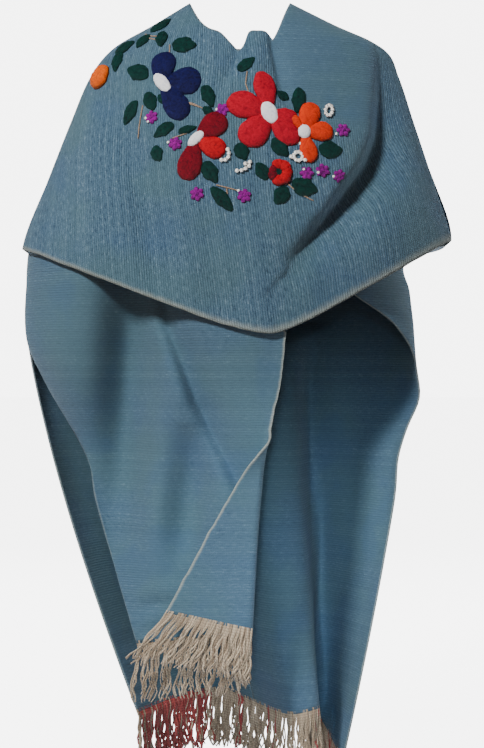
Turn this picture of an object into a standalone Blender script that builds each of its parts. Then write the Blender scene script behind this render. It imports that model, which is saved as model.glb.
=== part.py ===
"""A handwoven wool ruana in its worn form, open and hollow.

Metres, +Z up, the front faces -Y and +X is the viewer's right. The origin is where the garment
rests on the shoulders, midway between the two neck points. The left front crosses the chest and
is thrown over the opposite shoulder; the right front hangs under it with its slit edge turned back.
"""

import math
from collections import namedtuple

import bmesh
import bpy
from mathutils import Vector
from mathutils.bvhtree import BVHTree

# Cloth and seams; the level cut is a share of one grid cell
WALL = 0.0025
SEAM_HALF_GAP = 0.0004
LAYER_INSET = 0.009
SHOULDER_DROP = 0.6
SHOULDER_FOOT = -0.130
SEAM_CUT = 0.0010
LEVEL_CUT = 0.02

# Applique
APPLIQUE_GAP = 0.0009
APPLIQUE_PROBE = 0.006

CROWN_SHARE = 0.62
FLOWER_POINTS = 28
PETAL_WAIST = 0.48
PETAL_FULLNESS = 0.4
FLOWER_HEIGHT = 0.0040
CENTRE_HEIGHT = 0.0030
CENTRE_GAP = 0.0006
LEAF_HEIGHT = 0.0030
LEAF_TIP = 1.15
STAR_RADIUS = 0.0085
STAR_NOTCH = 0.55
STAR_HEIGHT = 0.0025
RING_RADIUS = 0.0055
RING_THICK = 0.0019
RING_STEPS = 8

# Fringe: strand stages give each stretch's share of the length and how much it narrows
FRINGE_LENGTH = 0.088
FRINGE_STRIP = 0.006
FRINGE_THICK = 0.0030
FRINGE_GAP = 0.0009
STRAND_STAGES = ((0.35, 0.72), (0.65, 0.45))
STRAND_UNEVEN = 0.04
STRAND_BEAT = 1.7
STRANDS_UNDER = 24
STRANDS_FLAP = 22
STRANDS_BACK_RIGHT = 32
STRANDS_BACK_LEFT = 44
STRANDS_THROWN = 34

# The space the cloth wraps, one row for each level: half widths to both sides and depths
Level = namedtuple("Level", "z left right front back")
LEVELS = [
    Level(0.000, 0.0725, 0.0725, 0.050, 0.050),
    Level(-0.034, 0.1280, 0.1400, 0.075, 0.077),
    Level(-0.066, 0.1830, 0.2080, 0.093, 0.094),
    Level(-0.105, 0.2150, 0.2290, 0.112, 0.112),
    Level(-0.170, 0.2430, 0.2500, 0.136, 0.128),
    Level(-0.255, 0.2765, 0.2775, 0.153, 0.136),
    Level(-0.348, 0.3125, 0.3065, 0.163, 0.136),
    Level(-0.430, 0.3180, 0.3100, 0.166, 0.132),
    Level(-0.620, 0.3180, 0.3000, 0.166, 0.126),
    Level(-1.150, 0.3180, 0.3000, 0.166, 0.120),
]

# The chest wrap, one row for each section from neck to hem; bend 0 is a plain V, large is round
WrapRow = namedtuple("WrapRow", "r right_z left_z middle_z middle_x bend")
WRAP_ROWS = [
    WrapRow(0.00, 0.000, 0.000, -0.080, 0.004, 1.20),
    WrapRow(0.20, -0.047, -0.055, -0.152, 0.005, 0.90),
    WrapRow(0.42, -0.096, -0.110, -0.240, 0.008, 0.60),
    WrapRow(0.60, -0.170, -0.195, -0.315, 0.015, 0.40),
    WrapRow(0.80, -0.256, -0.276, -0.400, 0.028, 0.24),
    WrapRow(1.00, -0.341, -0.355, -0.480, 0.038, 0.13),
]

# Troughs and ridges of the chest wrap: a path in x and z, depth (negative stands out), flanks
Fold = namedtuple("Fold", "path depth left_flank right_flank")
WRAP_FOLDS = [
    Fold([(0.196, -0.110), (0.187, -0.190), (0.165, -0.270), (0.115, -0.350), (0.070, -0.410)],
         0.024, 0.020, 0.046),
    Fold([(0.160, -0.120), (0.152, -0.195), (0.128, -0.265), (0.080, -0.335)],
         -0.007, 0.030, 0.022),
    Fold([(-0.195, -0.146), (-0.158, -0.204), (-0.137, -0.283), (-0.122, -0.352), (-0.108, -0.428)],
         0.007, 0.028, 0.030),
    Fold([(0.040, -0.300), (0.030, -0.380), (0.034, -0.470)], -0.004, 0.030, 0.030),
]

# The hanging right front below the wrap, one row for each section: outer edge, then fold line
HangRow = namedtuple("HangRow", "w left right")
HANG_ROWS = [
    HangRow(0.25, (-0.3085, -0.008, -0.478), (0.0410, -0.151, -0.550)),
    HangRow(0.40, (-0.2790, -0.030, -0.545), (0.0280, -0.150, -0.611)),
    HangRow(0.55, (-0.2190, -0.050, -0.648), (0.0235, -0.146, -0.678)),
    HangRow(0.70, (-0.2030, -0.062, -0.715), (0.0175, -0.142, -0.745)),
    HangRow(1.00, (-0.1440, -0.090, -0.911), (0.0095, -0.130, -0.889)),
]
SLIT_AT_NECK = 0.93
SLIT_AT_HEM = 0.485
PANEL_COLUMNS = 14
FLAP_COLUMNS = 7
FLAP_SPREAD = 1.7
FLAP_CURL = 0.30
FLAP_START = 0.40
FLAP_FOLDED = 0.56
FLAP_RADIUS = 0.007
FLAP_STRIP = 0.014
FLAP_WIDTH = 0.133
FLAP_EDGE_Z = (-0.611, -0.860)
HANG_FOLDS = [
    Fold([(-0.200, -0.500), (-0.190, -0.600), (-0.178, -0.720)], 0.016, 0.035, 0.045),
    Fold([(-0.075, -0.510), (-0.045, -0.610), (-0.015, -0.720), (0.000, -0.800)], 0.007, 0.018, 0.030),
    Fold([(-0.120, -0.560), (-0.095, -0.680), (-0.080, -0.800)], -0.008, 0.035, 0.035),
]

# The back, one row for each section down to where it hangs free: heights at left, right, middle
BackRow = namedtuple("BackRow", "v left_z right_z middle_z turn tuck")
BACK_ROWS = [
    BackRow(0.00, 0.000, 0.000, -0.055, 1.00, 0.00),
    BackRow(0.07, -0.055, -0.050, -0.110, 1.00, 0.00),
    BackRow(0.14, -0.120, -0.110, -0.180, 1.00, 0.00),
    BackRow(0.23, -0.220, -0.205, -0.265, 1.00, 0.00),
    BackRow(0.33, -0.345, -0.351, -0.374, 1.00, 0.00),
    BackRow(0.36, -0.372, -0.373, -0.402, 1.12, 0.20),
    BackRow(0.40, -0.415, -0.402, -0.435, 1.30, 0.24),
    BackRow(0.47, -0.478, -0.470, -0.505, 1.16, 0.18),
    BackRow(0.54, -0.545, -0.545, -0.575, 1.02, 0.15),
    BackRow(1.00, -1.013, -1.100, -1.015, 1.00, 0.15),
]

# The back hem seen from above, one row for each turn of its folds
HemStation = namedtuple("HemStation", "s x y z power")
BACK_HEM = [
    HemStation(0.00, -0.145, -0.060, -1.013, 1.35),
    HemStation(0.14, -0.094, 0.045, -1.012, 1.35),
    HemStation(0.30, -0.024, 0.100, -1.011, 1.35),
    HemStation(0.41, 0.022, 0.050, -1.020, 1.05),
    HemStation(0.50, 0.072, -0.030, -1.022, 0.75),
    HemStation(0.57, 0.113, -0.018, -1.016, 0.75),
    HemStation(0.70, 0.098, 0.094, -1.040, 1.05),
    HemStation(0.79, 0.124, 0.098, -1.058, 1.15),
    HemStation(1.00, 0.150, 0.015, -1.100, 1.35),
]
HANG_FROM = -0.460
SEAM_STATION = 0.41

# The end thrown over the shoulder, hanging down the back
THROW_DIRECTION = (0.758, -0.652)
THROW_REACH = 0.150
THROW_NECK_END = (0.050, -0.430)
THROW_HEM_END = (-0.170, -0.600)
THROW_LIFT = 0.005
THROW_SPREAD = 1.3
THROW_WAVES = 2.5
THROW_WAVE_DEPTH = 0.014

# Grid cells, across and down
WRAP_CELLS = (30, 14)
BACK_CELLS = (15, 16)
BACK_SPLIT = 7
HIDDEN_CELLS = 6
HANG_CELLS = 11
THROW_CELLS = (14, 13)

# Flowers on the front of the wrap: the place of the middle, petals by direction in degrees
Petal = namedtuple("Petal", "turn length half")
Flower = namedtuple("Flower", "name finish x z core petals centre")
FLOWERS = [
    Flower("navy", "felt_navy", -0.104, -0.136, 0.013,
           (Petal(95, 0.047, 0.020), Petal(10, 0.050, 0.022), Petal(-58, 0.054, 0.020)),
           (0.022, 0.013, -55.0)),
    Flower("wine", "felt_wine", -0.058, -0.215, 0.011,
           (Petal(38, 0.048, 0.019), Petal(-30, 0.041, 0.018), Petal(-107, 0.056, 0.020)),
           (0.017, 0.011, 60.0)),
    Flower("crimson", "felt_crimson", 0.040, -0.178, 0.013,
           (Petal(98, 0.056, 0.020), Petal(160, 0.057, 0.022), Petal(-120, 0.052, 0.022),
            Petal(-47, 0.048, 0.018), Petal(5, 0.023, 0.013)),
           (0.024, 0.016, -70.0)),
    Flower("orange", "felt_orange", 0.091, -0.203, 0.008,
           (Petal(72, 0.043, 0.014), Petal(3, 0.038, 0.013), Petal(-77, 0.042, 0.013)),
           (0.012, 0.011, 0.0)),
    Flower("rose", "felt_crimson", 0.050, -0.259, 0.015,
           (Petal(60, 0.021, 0.015), Petal(180, 0.019, 0.015), Petal(300, 0.021, 0.015)), None),
    Flower("bud", "felt_amber", -0.199, -0.114, 0.016,
           (Petal(90, 0.020, 0.016), Petal(210, 0.020, 0.016), Petal(330, 0.020, 0.016)), None),
]

# Leaves, one row each: the middle's place, length, width and direction in degrees
Leaf = namedtuple("Leaf", "x z length width turn")
LEAVES = [
    Leaf(-0.114, -0.036, 0.024, 0.014, 50),
    Leaf(-0.109, -0.066, 0.020, 0.013, 80),
    Leaf(-0.138, -0.066, 0.020, 0.012, 50),
    Leaf(-0.163, -0.074, 0.023, 0.013, 35),
    Leaf(-0.174, -0.096, 0.020, 0.012, 65),
    Leaf(-0.076, -0.076, 0.035, 0.022, -5),
    Leaf(-0.146, -0.112, 0.033, 0.024, -15),
    Leaf(-0.040, -0.148, 0.026, 0.020, -62),
    Leaf(-0.041, -0.171, 0.015, 0.012, -50),
    Leaf(-0.126, -0.158, 0.026, 0.021, 75),
    Leaf(-0.154, -0.168, 0.038, 0.018, 62),
    Leaf(-0.106, -0.199, 0.031, 0.017, 20),
    Leaf(-0.075, -0.197, 0.020, 0.010, 18),
    Leaf(-0.114, -0.235, 0.025, 0.022, -40),
    Leaf(-0.030, -0.262, 0.032, 0.022, -60),
    Leaf(0.008, -0.106, 0.028, 0.016, 40),
    Leaf(0.000, -0.233, 0.021, 0.021, -70),
    Leaf(0.054, -0.229, 0.022, 0.020, -60),
    Leaf(0.079, -0.152, 0.030, 0.021, -80),
    Leaf(0.128, -0.229, 0.030, 0.023, -12),
    Leaf(0.057, -0.296, 0.028, 0.022, 40),
    Leaf(0.092, -0.284, 0.034, 0.024, -22),
    Leaf(-0.024, -0.300, 0.042, 0.018, -60),
    Leaf(0.024, -0.256, 0.026, 0.014, 100),
]
STARS = [
    (-0.121, -0.182), (-0.088, -0.221), (-0.024, -0.174), (-0.058, -0.291), (0.006, -0.294),
    (0.142, -0.200), (0.113, -0.258), (0.136, -0.265), (0.091, -0.262),
]
RINGS = [(-0.016, -0.239), (0.004, -0.258), (0.081, -0.243), (0.121, -0.173)]

Finish = namedtuple("Finish", "colour roughness")
FINISHES = {
    "cloth": Finish((0.105, 0.190, 0.265), 0.92),
    "fringe": Finish((0.430, 0.350, 0.260), 0.90),
    "felt_leaf": Finish((0.002, 0.030, 0.024), 0.95),
    "felt_navy": Finish((0.009, 0.012, 0.090), 0.95),
    "felt_wine": Finish((0.300, 0.003, 0.021), 0.95),
    "felt_crimson": Finish((0.580, 0.003, 0.032), 0.95),
    "felt_orange": Finish((0.860, 0.100, 0.005), 0.95),
    "felt_amber": Finish((0.860, 0.230, 0.004), 0.95),
    "felt_white": Finish((0.780, 0.780, 0.860), 0.85),
    "felt_violet": Finish((0.350, 0.003, 0.300), 0.90),
    "bead": Finish((0.800, 0.800, 0.820), 0.35),
}


def clamp(value, low=0.0, high=1.0):
    return max(low, min(high, value))


def mix(a, b, t):
    return a + (b - a) * t


def smooth(t):
    t = clamp(t)
    return t * t * (3.0 - 2.0 * t)


def curve(rows, key, field, at):
    """A smooth curve through one column of a table, read at a value of its key column."""
    keys = [getattr(row, key) for row in rows]
    values = [getattr(row, field) for row in rows]
    if keys[0] > keys[-1]:
        keys = [-k for k in keys]
        at = -at
    at = clamp(at, keys[0], keys[-1])
    index = max(i for i in range(len(keys) - 1) if keys[i] <= at)
    step = keys[index + 1] - keys[index]

    def slope(i):
        low, high = max(i - 1, 0), min(i + 1, len(keys) - 1)
        return (values[high] - values[low]) / (keys[high] - keys[low])

    t = (at - keys[index]) / step
    rise = 3.0 * t ** 2 - 2.0 * t ** 3
    start = t ** 3 - 2.0 * t ** 2 + t
    stop = t ** 3 - t ** 2
    value = mix(values[index], values[index + 1], rise)
    return value + step * (start * slope(index) + stop * slope(index + 1))


def half_width(x_side, z):
    return curve(LEVELS, "z", "right" if x_side >= 0.0 else "left", z)


def fold_shift(folds, x, z):
    """How far the folds push the cloth in at a place of the front, from their nearest path points."""
    total = 0.0
    for fold in folds:
        best, side, along = 1e9, 0.0, 0.0
        last = len(fold.path) - 1
        for i in range(last):
            (ax, az), (bx, bz) = fold.path[i], fold.path[i + 1]
            dx, dz = bx - ax, bz - az
            t = clamp(((x - ax) * dx + (z - az) * dz) / (dx * dx + dz * dz))
            off_x, off_z = x - ax - dx * t, z - az - dz * t
            distance = math.hypot(off_x, off_z)
            if distance < best:
                best, side, along = distance, off_x, (i + t) / last
        flank = fold.right_flank if side > 0.0 else fold.left_flank
        fade = math.sin(math.pi * clamp(0.06 + 0.88 * along)) ** 0.6
        total += fold.depth * fade * math.exp(-(best / flank) ** 2)
    return total


def shoulder_drop(inset, z):
    """How far an under layer lies lower than the outer one, where the shoulder is nearly level."""
    return inset * SHOULDER_DROP * smooth((z - SHOULDER_FOOT) / -SHOULDER_FOOT)


def on_front(fraction, z, inset):
    """A place on the front of the wrapped space; fraction runs from -1 at the left ridge to 1."""
    fraction = clamp(fraction, -1.0, 1.0)
    x = fraction * (half_width(fraction, z) - inset)
    y = -(curve(LEVELS, "z", "front", z) - inset) * math.sqrt(1.0 - fraction ** 2)
    return Vector((x, y - SEAM_HALF_GAP, z - shoulder_drop(inset, z)))


def wrap_point(s, r, inset=0.0):
    """The chest wrap: s runs from the right ridge to the left one, r from the neck to the hem."""
    right_z = curve(WRAP_ROWS, "r", "right_z", r)
    left_z = curve(WRAP_ROWS, "r", "left_z", r)
    middle_z = curve(WRAP_ROWS, "r", "middle_z", r)
    middle_x = curve(WRAP_ROWS, "r", "middle_x", r)
    bend = curve(WRAP_ROWS, "r", "bend", r)
    across = math.cos(math.pi * s)
    side_z = right_z if across > 0.0 else left_z
    side_x = half_width(across, side_z) * (1.0 if across > 0.0 else -1.0)
    rise = (math.sqrt(across ** 2 + bend ** 2) - bend) / (math.sqrt(1.0 + bend ** 2) - bend)
    z = mix(middle_z, side_z, rise)
    x = mix(middle_x, side_x, abs(across))
    point = on_front(x / half_width(x, z), z, inset)
    point.y += fold_shift(WRAP_FOLDS, x, z) * math.sin(math.pi * s) ** 0.5
    return point


def hang_edge(side, w):
    """The outer edge or the fold line of the hanging front; w is 0 at the wrap's hem."""
    top = wrap_point(1.0 if side == "left" else SLIT_AT_HEM, 1.0, LAYER_INSET)
    Key = namedtuple("Key", "w x y z")
    rows = [Key(0.0, *top)] + [Key(row.w, *getattr(row, side)) for row in HANG_ROWS]
    return Vector(curve(rows, "w", axis, w) for axis in "xyz")


def hang_free(u, w):
    """The hanging front between its outer edge and fold line, before it meets the wrap's hem."""
    left, right = hang_edge("left", w), hang_edge("right", w)
    round_part = math.sqrt(1.0 - (1.0 - clamp(1.2 * u)) ** 2)
    flat_part = math.sin(0.5 * math.pi * u)
    depth = mix(left.y, right.y, mix(round_part, flat_part, smooth(w / 0.8)))
    across = mix(0.5 - 0.5 * math.cos(math.pi * u), u, smooth(w / 0.5) * 0.5 + 0.5)
    return Vector((mix(left.x, right.x, across), depth, mix(left.z, right.z, across)))


def hang_point(u, w):
    """The hanging front from its outer edge, u 0, to its fold line, u 1."""
    top = wrap_point(mix(1.0, SLIT_AT_HEM, u), 1.0, LAYER_INSET)
    point = hang_free(u, w) + (top - hang_free(u, 0.0)) * (1.0 - smooth(w / 0.35))
    shift = fold_shift(HANG_FOLDS, point.x, point.z)
    point.y += shift * smooth(w / 0.15) * math.sin(math.pi * u) ** 0.5
    return point


def flap_point(t, w):
    """The slit edge past the fold line, t 0 to 1: flat at first, then turned back to the front."""
    fold = hang_point(1.0, w)
    grown = clamp((w - FLAP_START) / (1.0 - FLAP_START))
    width = mix(FLAP_STRIP, FLAP_WIDTH, grown)
    reach = width * t ** FLAP_SPREAD
    opening = smooth((w - FLAP_CURL) / (FLAP_FOLDED - FLAP_CURL))
    bend = max(opening, 0.001) / FLAP_RADIUS
    curled = min(reach, math.pi * FLAP_RADIUS)
    turned = bend * curled
    x = fold.x + math.sin(turned) / bend + (reach - curled) * math.cos(turned)
    y = fold.y - (1.0 - math.cos(turned)) / bend - (reach - curled) * math.sin(turned)
    edge_z = mix(*FLAP_EDGE_Z, grown)
    z = mix(fold.z, edge_z, reach / width * smooth(grown / 0.1))
    return Vector((x, y, z))


def front_panel_point(column, row):
    """The right front by grid column and row; its first rows lie under the chest wrap."""
    columns = PANEL_COLUMNS + FLAP_COLUMNS
    if row <= HIDDEN_CELLS:
        r = mix(0.04, 1.0, row / HIDDEN_CELLS)
        slit = mix(SLIT_AT_NECK, SLIT_AT_HEM, r ** 0.8)
        u = min(1.0, column / PANEL_COLUMNS)
        point = wrap_point(mix(1.0, slit, u), r, LAYER_INSET)
        strip = max(0.0, column - PANEL_COLUMNS) / FLAP_COLUMNS
        point.x += FLAP_STRIP * strip ** FLAP_SPREAD
        return point
    w = (row - HIDDEN_CELLS) / HANG_CELLS
    if column <= PANEL_COLUMNS:
        return hang_point(column / PANEL_COLUMNS, w)
    return flap_point((column - PANEL_COLUMNS) / (columns - PANEL_COLUMNS), w)


def hem_place(s):
    return Vector(curve(BACK_HEM, "s", axis, s) for axis in "xyz")


def back_point(s, v):
    """The back: s runs from the left edge round the back to the right edge, v from neck to hem."""
    free_from = BACK_ROWS[-2].v
    held_v = min(v, free_from)
    left_z = curve(BACK_ROWS, "v", "left_z", held_v)
    right_z = curve(BACK_ROWS, "v", "right_z", held_v)
    middle_z = curve(BACK_ROWS, "v", "middle_z", held_v)
    angle = math.pi * s * (1.0 + (curve(BACK_ROWS, "v", "turn", v) - 1.0) * smooth((s - 0.45) / 0.55))
    across = -math.cos(angle)
    side_z = mix(left_z, right_z, s)
    z = mix(middle_z, side_z, clamp(abs(2.0 * s - 1.0)) ** 1.6)
    hem = hem_place(s)
    z = mix(z, hem.z, clamp((v - free_from) / (1.0 - free_from)))
    tuck = curve(BACK_ROWS, "v", "tuck", v) * smooth((s - 0.5) / 0.4)
    inset = LAYER_INSET * (1.0 - smooth(s / 0.6))
    width = half_width(across, z) * (1.0 - tuck) - inset
    if math.sin(angle) >= 0.0:
        y = (curve(LEVELS, "z", "back", z) - inset) * math.sin(angle) + SEAM_HALF_GAP
    else:
        y = (curve(LEVELS, "z", "front", z) - LAYER_INSET) * math.sin(angle)
    shell = Vector((across * width, y, z))
    fall = clamp((HANG_FROM - z) / (HANG_FROM - hem.z)) ** curve(BACK_HEM, "s", "power", s)
    placed = shell.lerp(hem, fall)
    placed.z = z - shoulder_drop(inset, z)
    return placed


def back_row(row):
    """The place down the back of a grid row: the table's rows first, then even steps to the hem."""
    held = [entry.v for entry in BACK_ROWS[:-1]]
    if row < len(held) - 1:
        return mix(held[int(row)], held[int(row) + 1], row % 1)
    return mix(held[-1], 1.0, (row - len(held) + 1) / (BACK_CELLS[1] - len(held) + 1))


def back_right_place(column, row):
    """The right length's share of the back, up to the middle seam."""
    return back_point((SEAM_STATION - SEAM_CUT) * column / BACK_CELLS[0], back_row(row))


def back_left_place(column, row):
    """The left length's share of the back, from the middle seam."""
    return back_point(mix(SEAM_STATION + SEAM_CUT, 1.0, column / BACK_CELLS[0]), back_row(row))


def ridge_point(r):
    """A place on the left shoulder ridge of the outer layer."""
    z = curve(WRAP_ROWS, "r", "left_z", r)
    return (-half_width(-1.0, z), z)


def thrown_point(s, t):
    """The thrown end: s runs along the ridge from the neck to the hem side, t to its fringed end."""
    t = t ** THROW_SPREAD
    start_x, start_z = ridge_point(s)
    end_x = mix(THROW_NECK_END[0], THROW_HEM_END[0], s)
    end_z = mix(THROW_NECK_END[1], THROW_HEM_END[1], s)
    knee_x = start_x + THROW_REACH * THROW_DIRECTION[0]
    knee_z = start_z + THROW_REACH * THROW_DIRECTION[1]
    x = (1.0 - t) ** 2 * start_x + 2.0 * t * (1.0 - t) * knee_x + t ** 2 * end_x
    z = (1.0 - t) ** 2 * start_z + 2.0 * t * (1.0 - t) * knee_z + t ** 2 * end_z
    fraction = clamp(x / half_width(x, z), -1.0, 1.0)
    depth = curve(LEVELS, "z", "back", z)
    wave = 0.5 + 0.5 * math.cos(2.0 * math.pi * THROW_WAVES * s)
    lift = THROW_LIFT * smooth(t / 0.12) + LAYER_INSET * smooth((x + half_width(-1.0, z)) / 0.2)
    y = depth * math.sqrt(1.0 - fraction ** 2) + SEAM_HALF_GAP + lift
    return Vector((x, y + THROW_WAVE_DEPTH * wave * smooth(t), z))


def finish_material(name):
    """The Principled material of one finish."""
    material = bpy.data.materials.get(name)
    if material is None:
        material = bpy.data.materials.new(name)
        material.use_nodes = True
        shader = material.node_tree.nodes["Principled BSDF"]
        shader.inputs["Base Color"].default_value = (*FINISHES[name].colour, 1.0)
        shader.inputs["Roughness"].default_value = FINISHES[name].roughness
        shader.inputs["Metallic"].default_value = 0.0
    return material


def add_object(name, bm, finish):
    """A named object from a bmesh, with its own material slot."""
    bmesh.ops.recalc_face_normals(bm, faces=bm.faces)
    mesh = bpy.data.meshes.new(name)
    bm.to_mesh(mesh)
    bm.free()
    mesh.materials.append(finish_material(finish))
    made = bpy.data.objects.new(name, mesh)
    bpy.context.scene.collection.objects.link(made)
    return made


def cloth_sheet(name, cells, place):
    """A wall of cloth from a grid whose corners are placed by column and row number."""
    columns, rows = cells
    bm = bmesh.new()
    bmesh.ops.create_grid(bm, x_segments=columns, y_segments=rows, size=0.5)
    for vert in bm.verts:
        column = round((vert.co.x + 0.5) * columns)
        row = round((0.5 - vert.co.y) * rows)
        vert.co = place(column, row)
    made = add_object(name, bm, "cloth")
    wall = made.modifiers.new("Wall", "SOLIDIFY")
    wall.thickness = WALL
    wall.offset = 0.0
    return made


def along(points, t):
    """A place along the straight runs between some points, t 0 to 1."""
    at = clamp(t) * (len(points) - 1)
    index = min(int(at), len(points) - 2)
    return points[index].lerp(points[index + 1], at - index)


def fringe(name, edge, above, count, lean):
    """Strands hanging from a narrow strip under a cloth edge, all fused to the strip."""
    bm = bmesh.new()
    rings = []
    for i in range(count + 1):
        here = along(edge, i / count)
        down = (here - along(above, i / count)).normalized()
        ahead = along(edge, (i + 0.5) / count) - along(edge, (i - 0.5) / count)
        across = down.cross(ahead).normalized() * FRINGE_THICK * 0.5
        top = here + down * FRINGE_GAP
        low = top + down * FRINGE_STRIP
        rings.append([bm.verts.new(p) for p in (top + across, top - across, low - across, low + across)])
    for a, b in zip(rings, rings[1:]):
        for k in range(4):
            bm.faces.new((a[k], a[(k + 1) % 4], b[(k + 1) % 4], b[k]))
    bm.faces.new(rings[0][::-1])
    bm.faces.new(rings[-1])
    bm.faces.ensure_lookup_table()
    bottoms = [bm.faces[4 * i + 2] for i in range(count)]
    for i, face in enumerate(bottoms):
        reach = FRINGE_LENGTH * (1.0 - STRAND_UNEVEN * (1.0 + math.cos(STRAND_BEAT * i)))
        for share, shrink in STRAND_STAGES:
            face = bmesh.ops.extrude_discrete_faces(bm, faces=[face])["faces"][0]
            middle = face.calc_center_median()
            for vert in face.verts:
                vert.co = middle + (vert.co - middle) * shrink
                vert.co += Vector((lean * share * reach, 0.0, -share * reach))
    return add_object(name, bm, "fringe")


class Cloth:
    """The built chest wrap, asked where its outer face is so that trim can lie on it."""

    def __init__(self, made):
        graph = bpy.context.evaluated_depsgraph_get()
        graph.update()
        self.tree = BVHTree.FromObject(made, graph)

    def frame(self, x, z):
        """The outer face at a place of the front view: point, rightwards, upwards, outwards."""
        point, out, _, _ = self.tree.ray_cast(Vector((x, -1.0, z)), Vector((0.0, 1.0, 0.0)))
        right = Vector((0.0, 0.0, 1.0)).cross(out).normalized()
        return point, right, out.cross(right), out

    def lifted(self, frame, dx, dz, lift):
        """A place beside a frame's point along the cloth, moved out from its outer face."""
        point, right, up, out = frame
        probe = point + right * dx + up * dz + out * APPLIQUE_PROBE
        hit, normal, _, _ = self.tree.find_nearest(probe)
        return hit + normal * lift


def raised_shape(name, cloth, x, z, outline, height, finish, base=APPLIQUE_GAP):
    """A felt shape with a rounded top over the cloth, from its outline round a middle point."""
    frame = cloth.frame(x, z)
    bm = bmesh.new()
    rings = []
    for scale, lift in ((0.5, 0.0), (1.0, 0.0), (0.97, 0.5 * height), (CROWN_SHARE, height)):
        points = [cloth.lifted(frame, dx * scale, dz * scale, base + lift) for dx, dz in outline]
        rings.append([bm.verts.new(p) for p in points])
    count = len(outline)
    for low, high in zip(rings, rings[1:]):
        for i in range(count):
            bm.faces.new((low[i], low[(i + 1) % count], high[(i + 1) % count], high[i]))
    for ring, lift in ((rings[0], 0.0), (rings[-1], height)):
        middle = bm.verts.new(cloth.lifted(frame, 0.0, 0.0, base + lift))
        for i in range(count):
            bm.faces.new((ring[i], ring[(i + 1) % count], middle))
    return add_object(name, bm, finish)


def petal_outline(petals, core):
    """The outline of petals of given direction, length and half width round a core."""
    points = []
    for i in range(FLOWER_POINTS):
        angle = 2.0 * math.pi * i / FLOWER_POINTS
        reach = core
        for petal in petals:
            off = math.remainder(angle - math.radians(petal.turn), 2.0 * math.pi)
            spread = math.atan2(petal.half, PETAL_WAIST * petal.length)
            turned = 0.5 * math.pi * clamp(off / spread, -1.0, 1.0)
            reach = max(reach, petal.length * math.cos(turned) ** PETAL_FULLNESS)
        points.append((reach * math.cos(angle), reach * math.sin(angle)))
    return points


def oval_outline(length, width, turn, count=8, tip=1.0):
    """A pointed or round oval, longest along its turn in degrees."""
    cosine, sine = math.cos(math.radians(turn)), math.sin(math.radians(turn))
    points = []
    for i in range(count):
        angle = 2.0 * math.pi * i / count
        a = 0.5 * length * math.cos(angle)
        b = 0.5 * width * math.copysign(abs(math.sin(angle)) ** tip, math.sin(angle))
        points.append((a * cosine - b * sine, a * sine + b * cosine))
    return points


def star_outline(radius):
    """Five points and five notches."""
    points = []
    for i in range(10):
        reach = radius if i % 2 == 0 else STAR_NOTCH * radius
        angle = 0.5 * math.pi + math.pi * i / 5.0
        points.append((reach * math.cos(angle), reach * math.sin(angle)))
    return points


def ring_bead(name, cloth, x, z):
    """A bead ring lying on the cloth."""
    frame = cloth.frame(x, z)
    bm = bmesh.new()
    loops = []
    for i in range(RING_STEPS):
        angle = 2.0 * math.pi * i / RING_STEPS
        loop = []
        for k in range(4):
            around = math.pi * (0.25 + 0.5 * k)
            reach = RING_RADIUS + RING_THICK * math.cos(around)
            lift = APPLIQUE_GAP + RING_THICK * (math.sin(0.25 * math.pi) + math.sin(around))
            place = cloth.lifted(frame, reach * math.cos(angle), reach * math.sin(angle), lift)
            loop.append(bm.verts.new(place))
        loops.append(loop)
    for a, b in zip(loops, loops[1:] + loops[:1]):
        for k in range(4):
            bm.faces.new((a[k], a[(k + 1) % 4], b[(k + 1) % 4], b[k]))
    return add_object(name, bm, "bead")


def split_sheet(name, columns, rows, split, place):
    """A wall of cloth parted level into an upper and a lower solid, so that each collides closely."""
    cloth_sheet(name + "_upper", (columns, split), place)
    cloth_sheet(name + "_lower", (columns, rows - split),
                lambda c, r: place(c, split + (r if r else LEVEL_CUT)))


def cloth_pieces():
    """The walls of cloth; returns the chest wrap."""
    columns, rows = WRAP_CELLS
    wrap = cloth_sheet("front_wrap", WRAP_CELLS, lambda c, r: wrap_point(c / columns, r / rows))
    across, down = BACK_CELLS
    split_sheet("front_panel", PANEL_COLUMNS + FLAP_COLUMNS, HIDDEN_CELLS + HANG_CELLS, HIDDEN_CELLS,
                front_panel_point)
    split_sheet("back_left", across, down, BACK_SPLIT, back_left_place)
    cloth_sheet("back_right", BACK_CELLS, back_right_place)
    wide, deep = THROW_CELLS
    cloth_sheet("thrown_end", THROW_CELLS, lambda c, r: thrown_point(c / wide, r / deep))
    return wrap


def fringes():
    """The warp fringe of every hem, each on its own strip."""
    hem_row = HIDDEN_CELLS + HANG_CELLS
    under = range(PANEL_COLUMNS + 1)
    flap = range(PANEL_COLUMNS + 1, PANEL_COLUMNS + FLAP_COLUMNS + 1)
    across, last = BACK_CELLS
    wide, deep = THROW_CELLS

    def hem(name, place, columns, row, count, lean):
        edge = [place(column, row) for column in columns]
        above = [place(column, row - 1) for column in columns]
        fringe(name, edge, above, count, lean)

    hem("fringe_front_under", front_panel_point, under, hem_row, STRANDS_UNDER, -0.10)
    hem("fringe_front_flap", front_panel_point, flap, hem_row, STRANDS_FLAP, -0.12)
    hem("fringe_back_right", back_right_place, range(across + 1), last, STRANDS_BACK_RIGHT, 0.0)
    hem("fringe_back_left", back_left_place, range(across + 1), last, STRANDS_BACK_LEFT, 0.0)
    hem("fringe_thrown", lambda c, r: thrown_point(c / wide, r / deep), range(wide + 1), deep,
        STRANDS_THROWN, 0.0)


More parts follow.
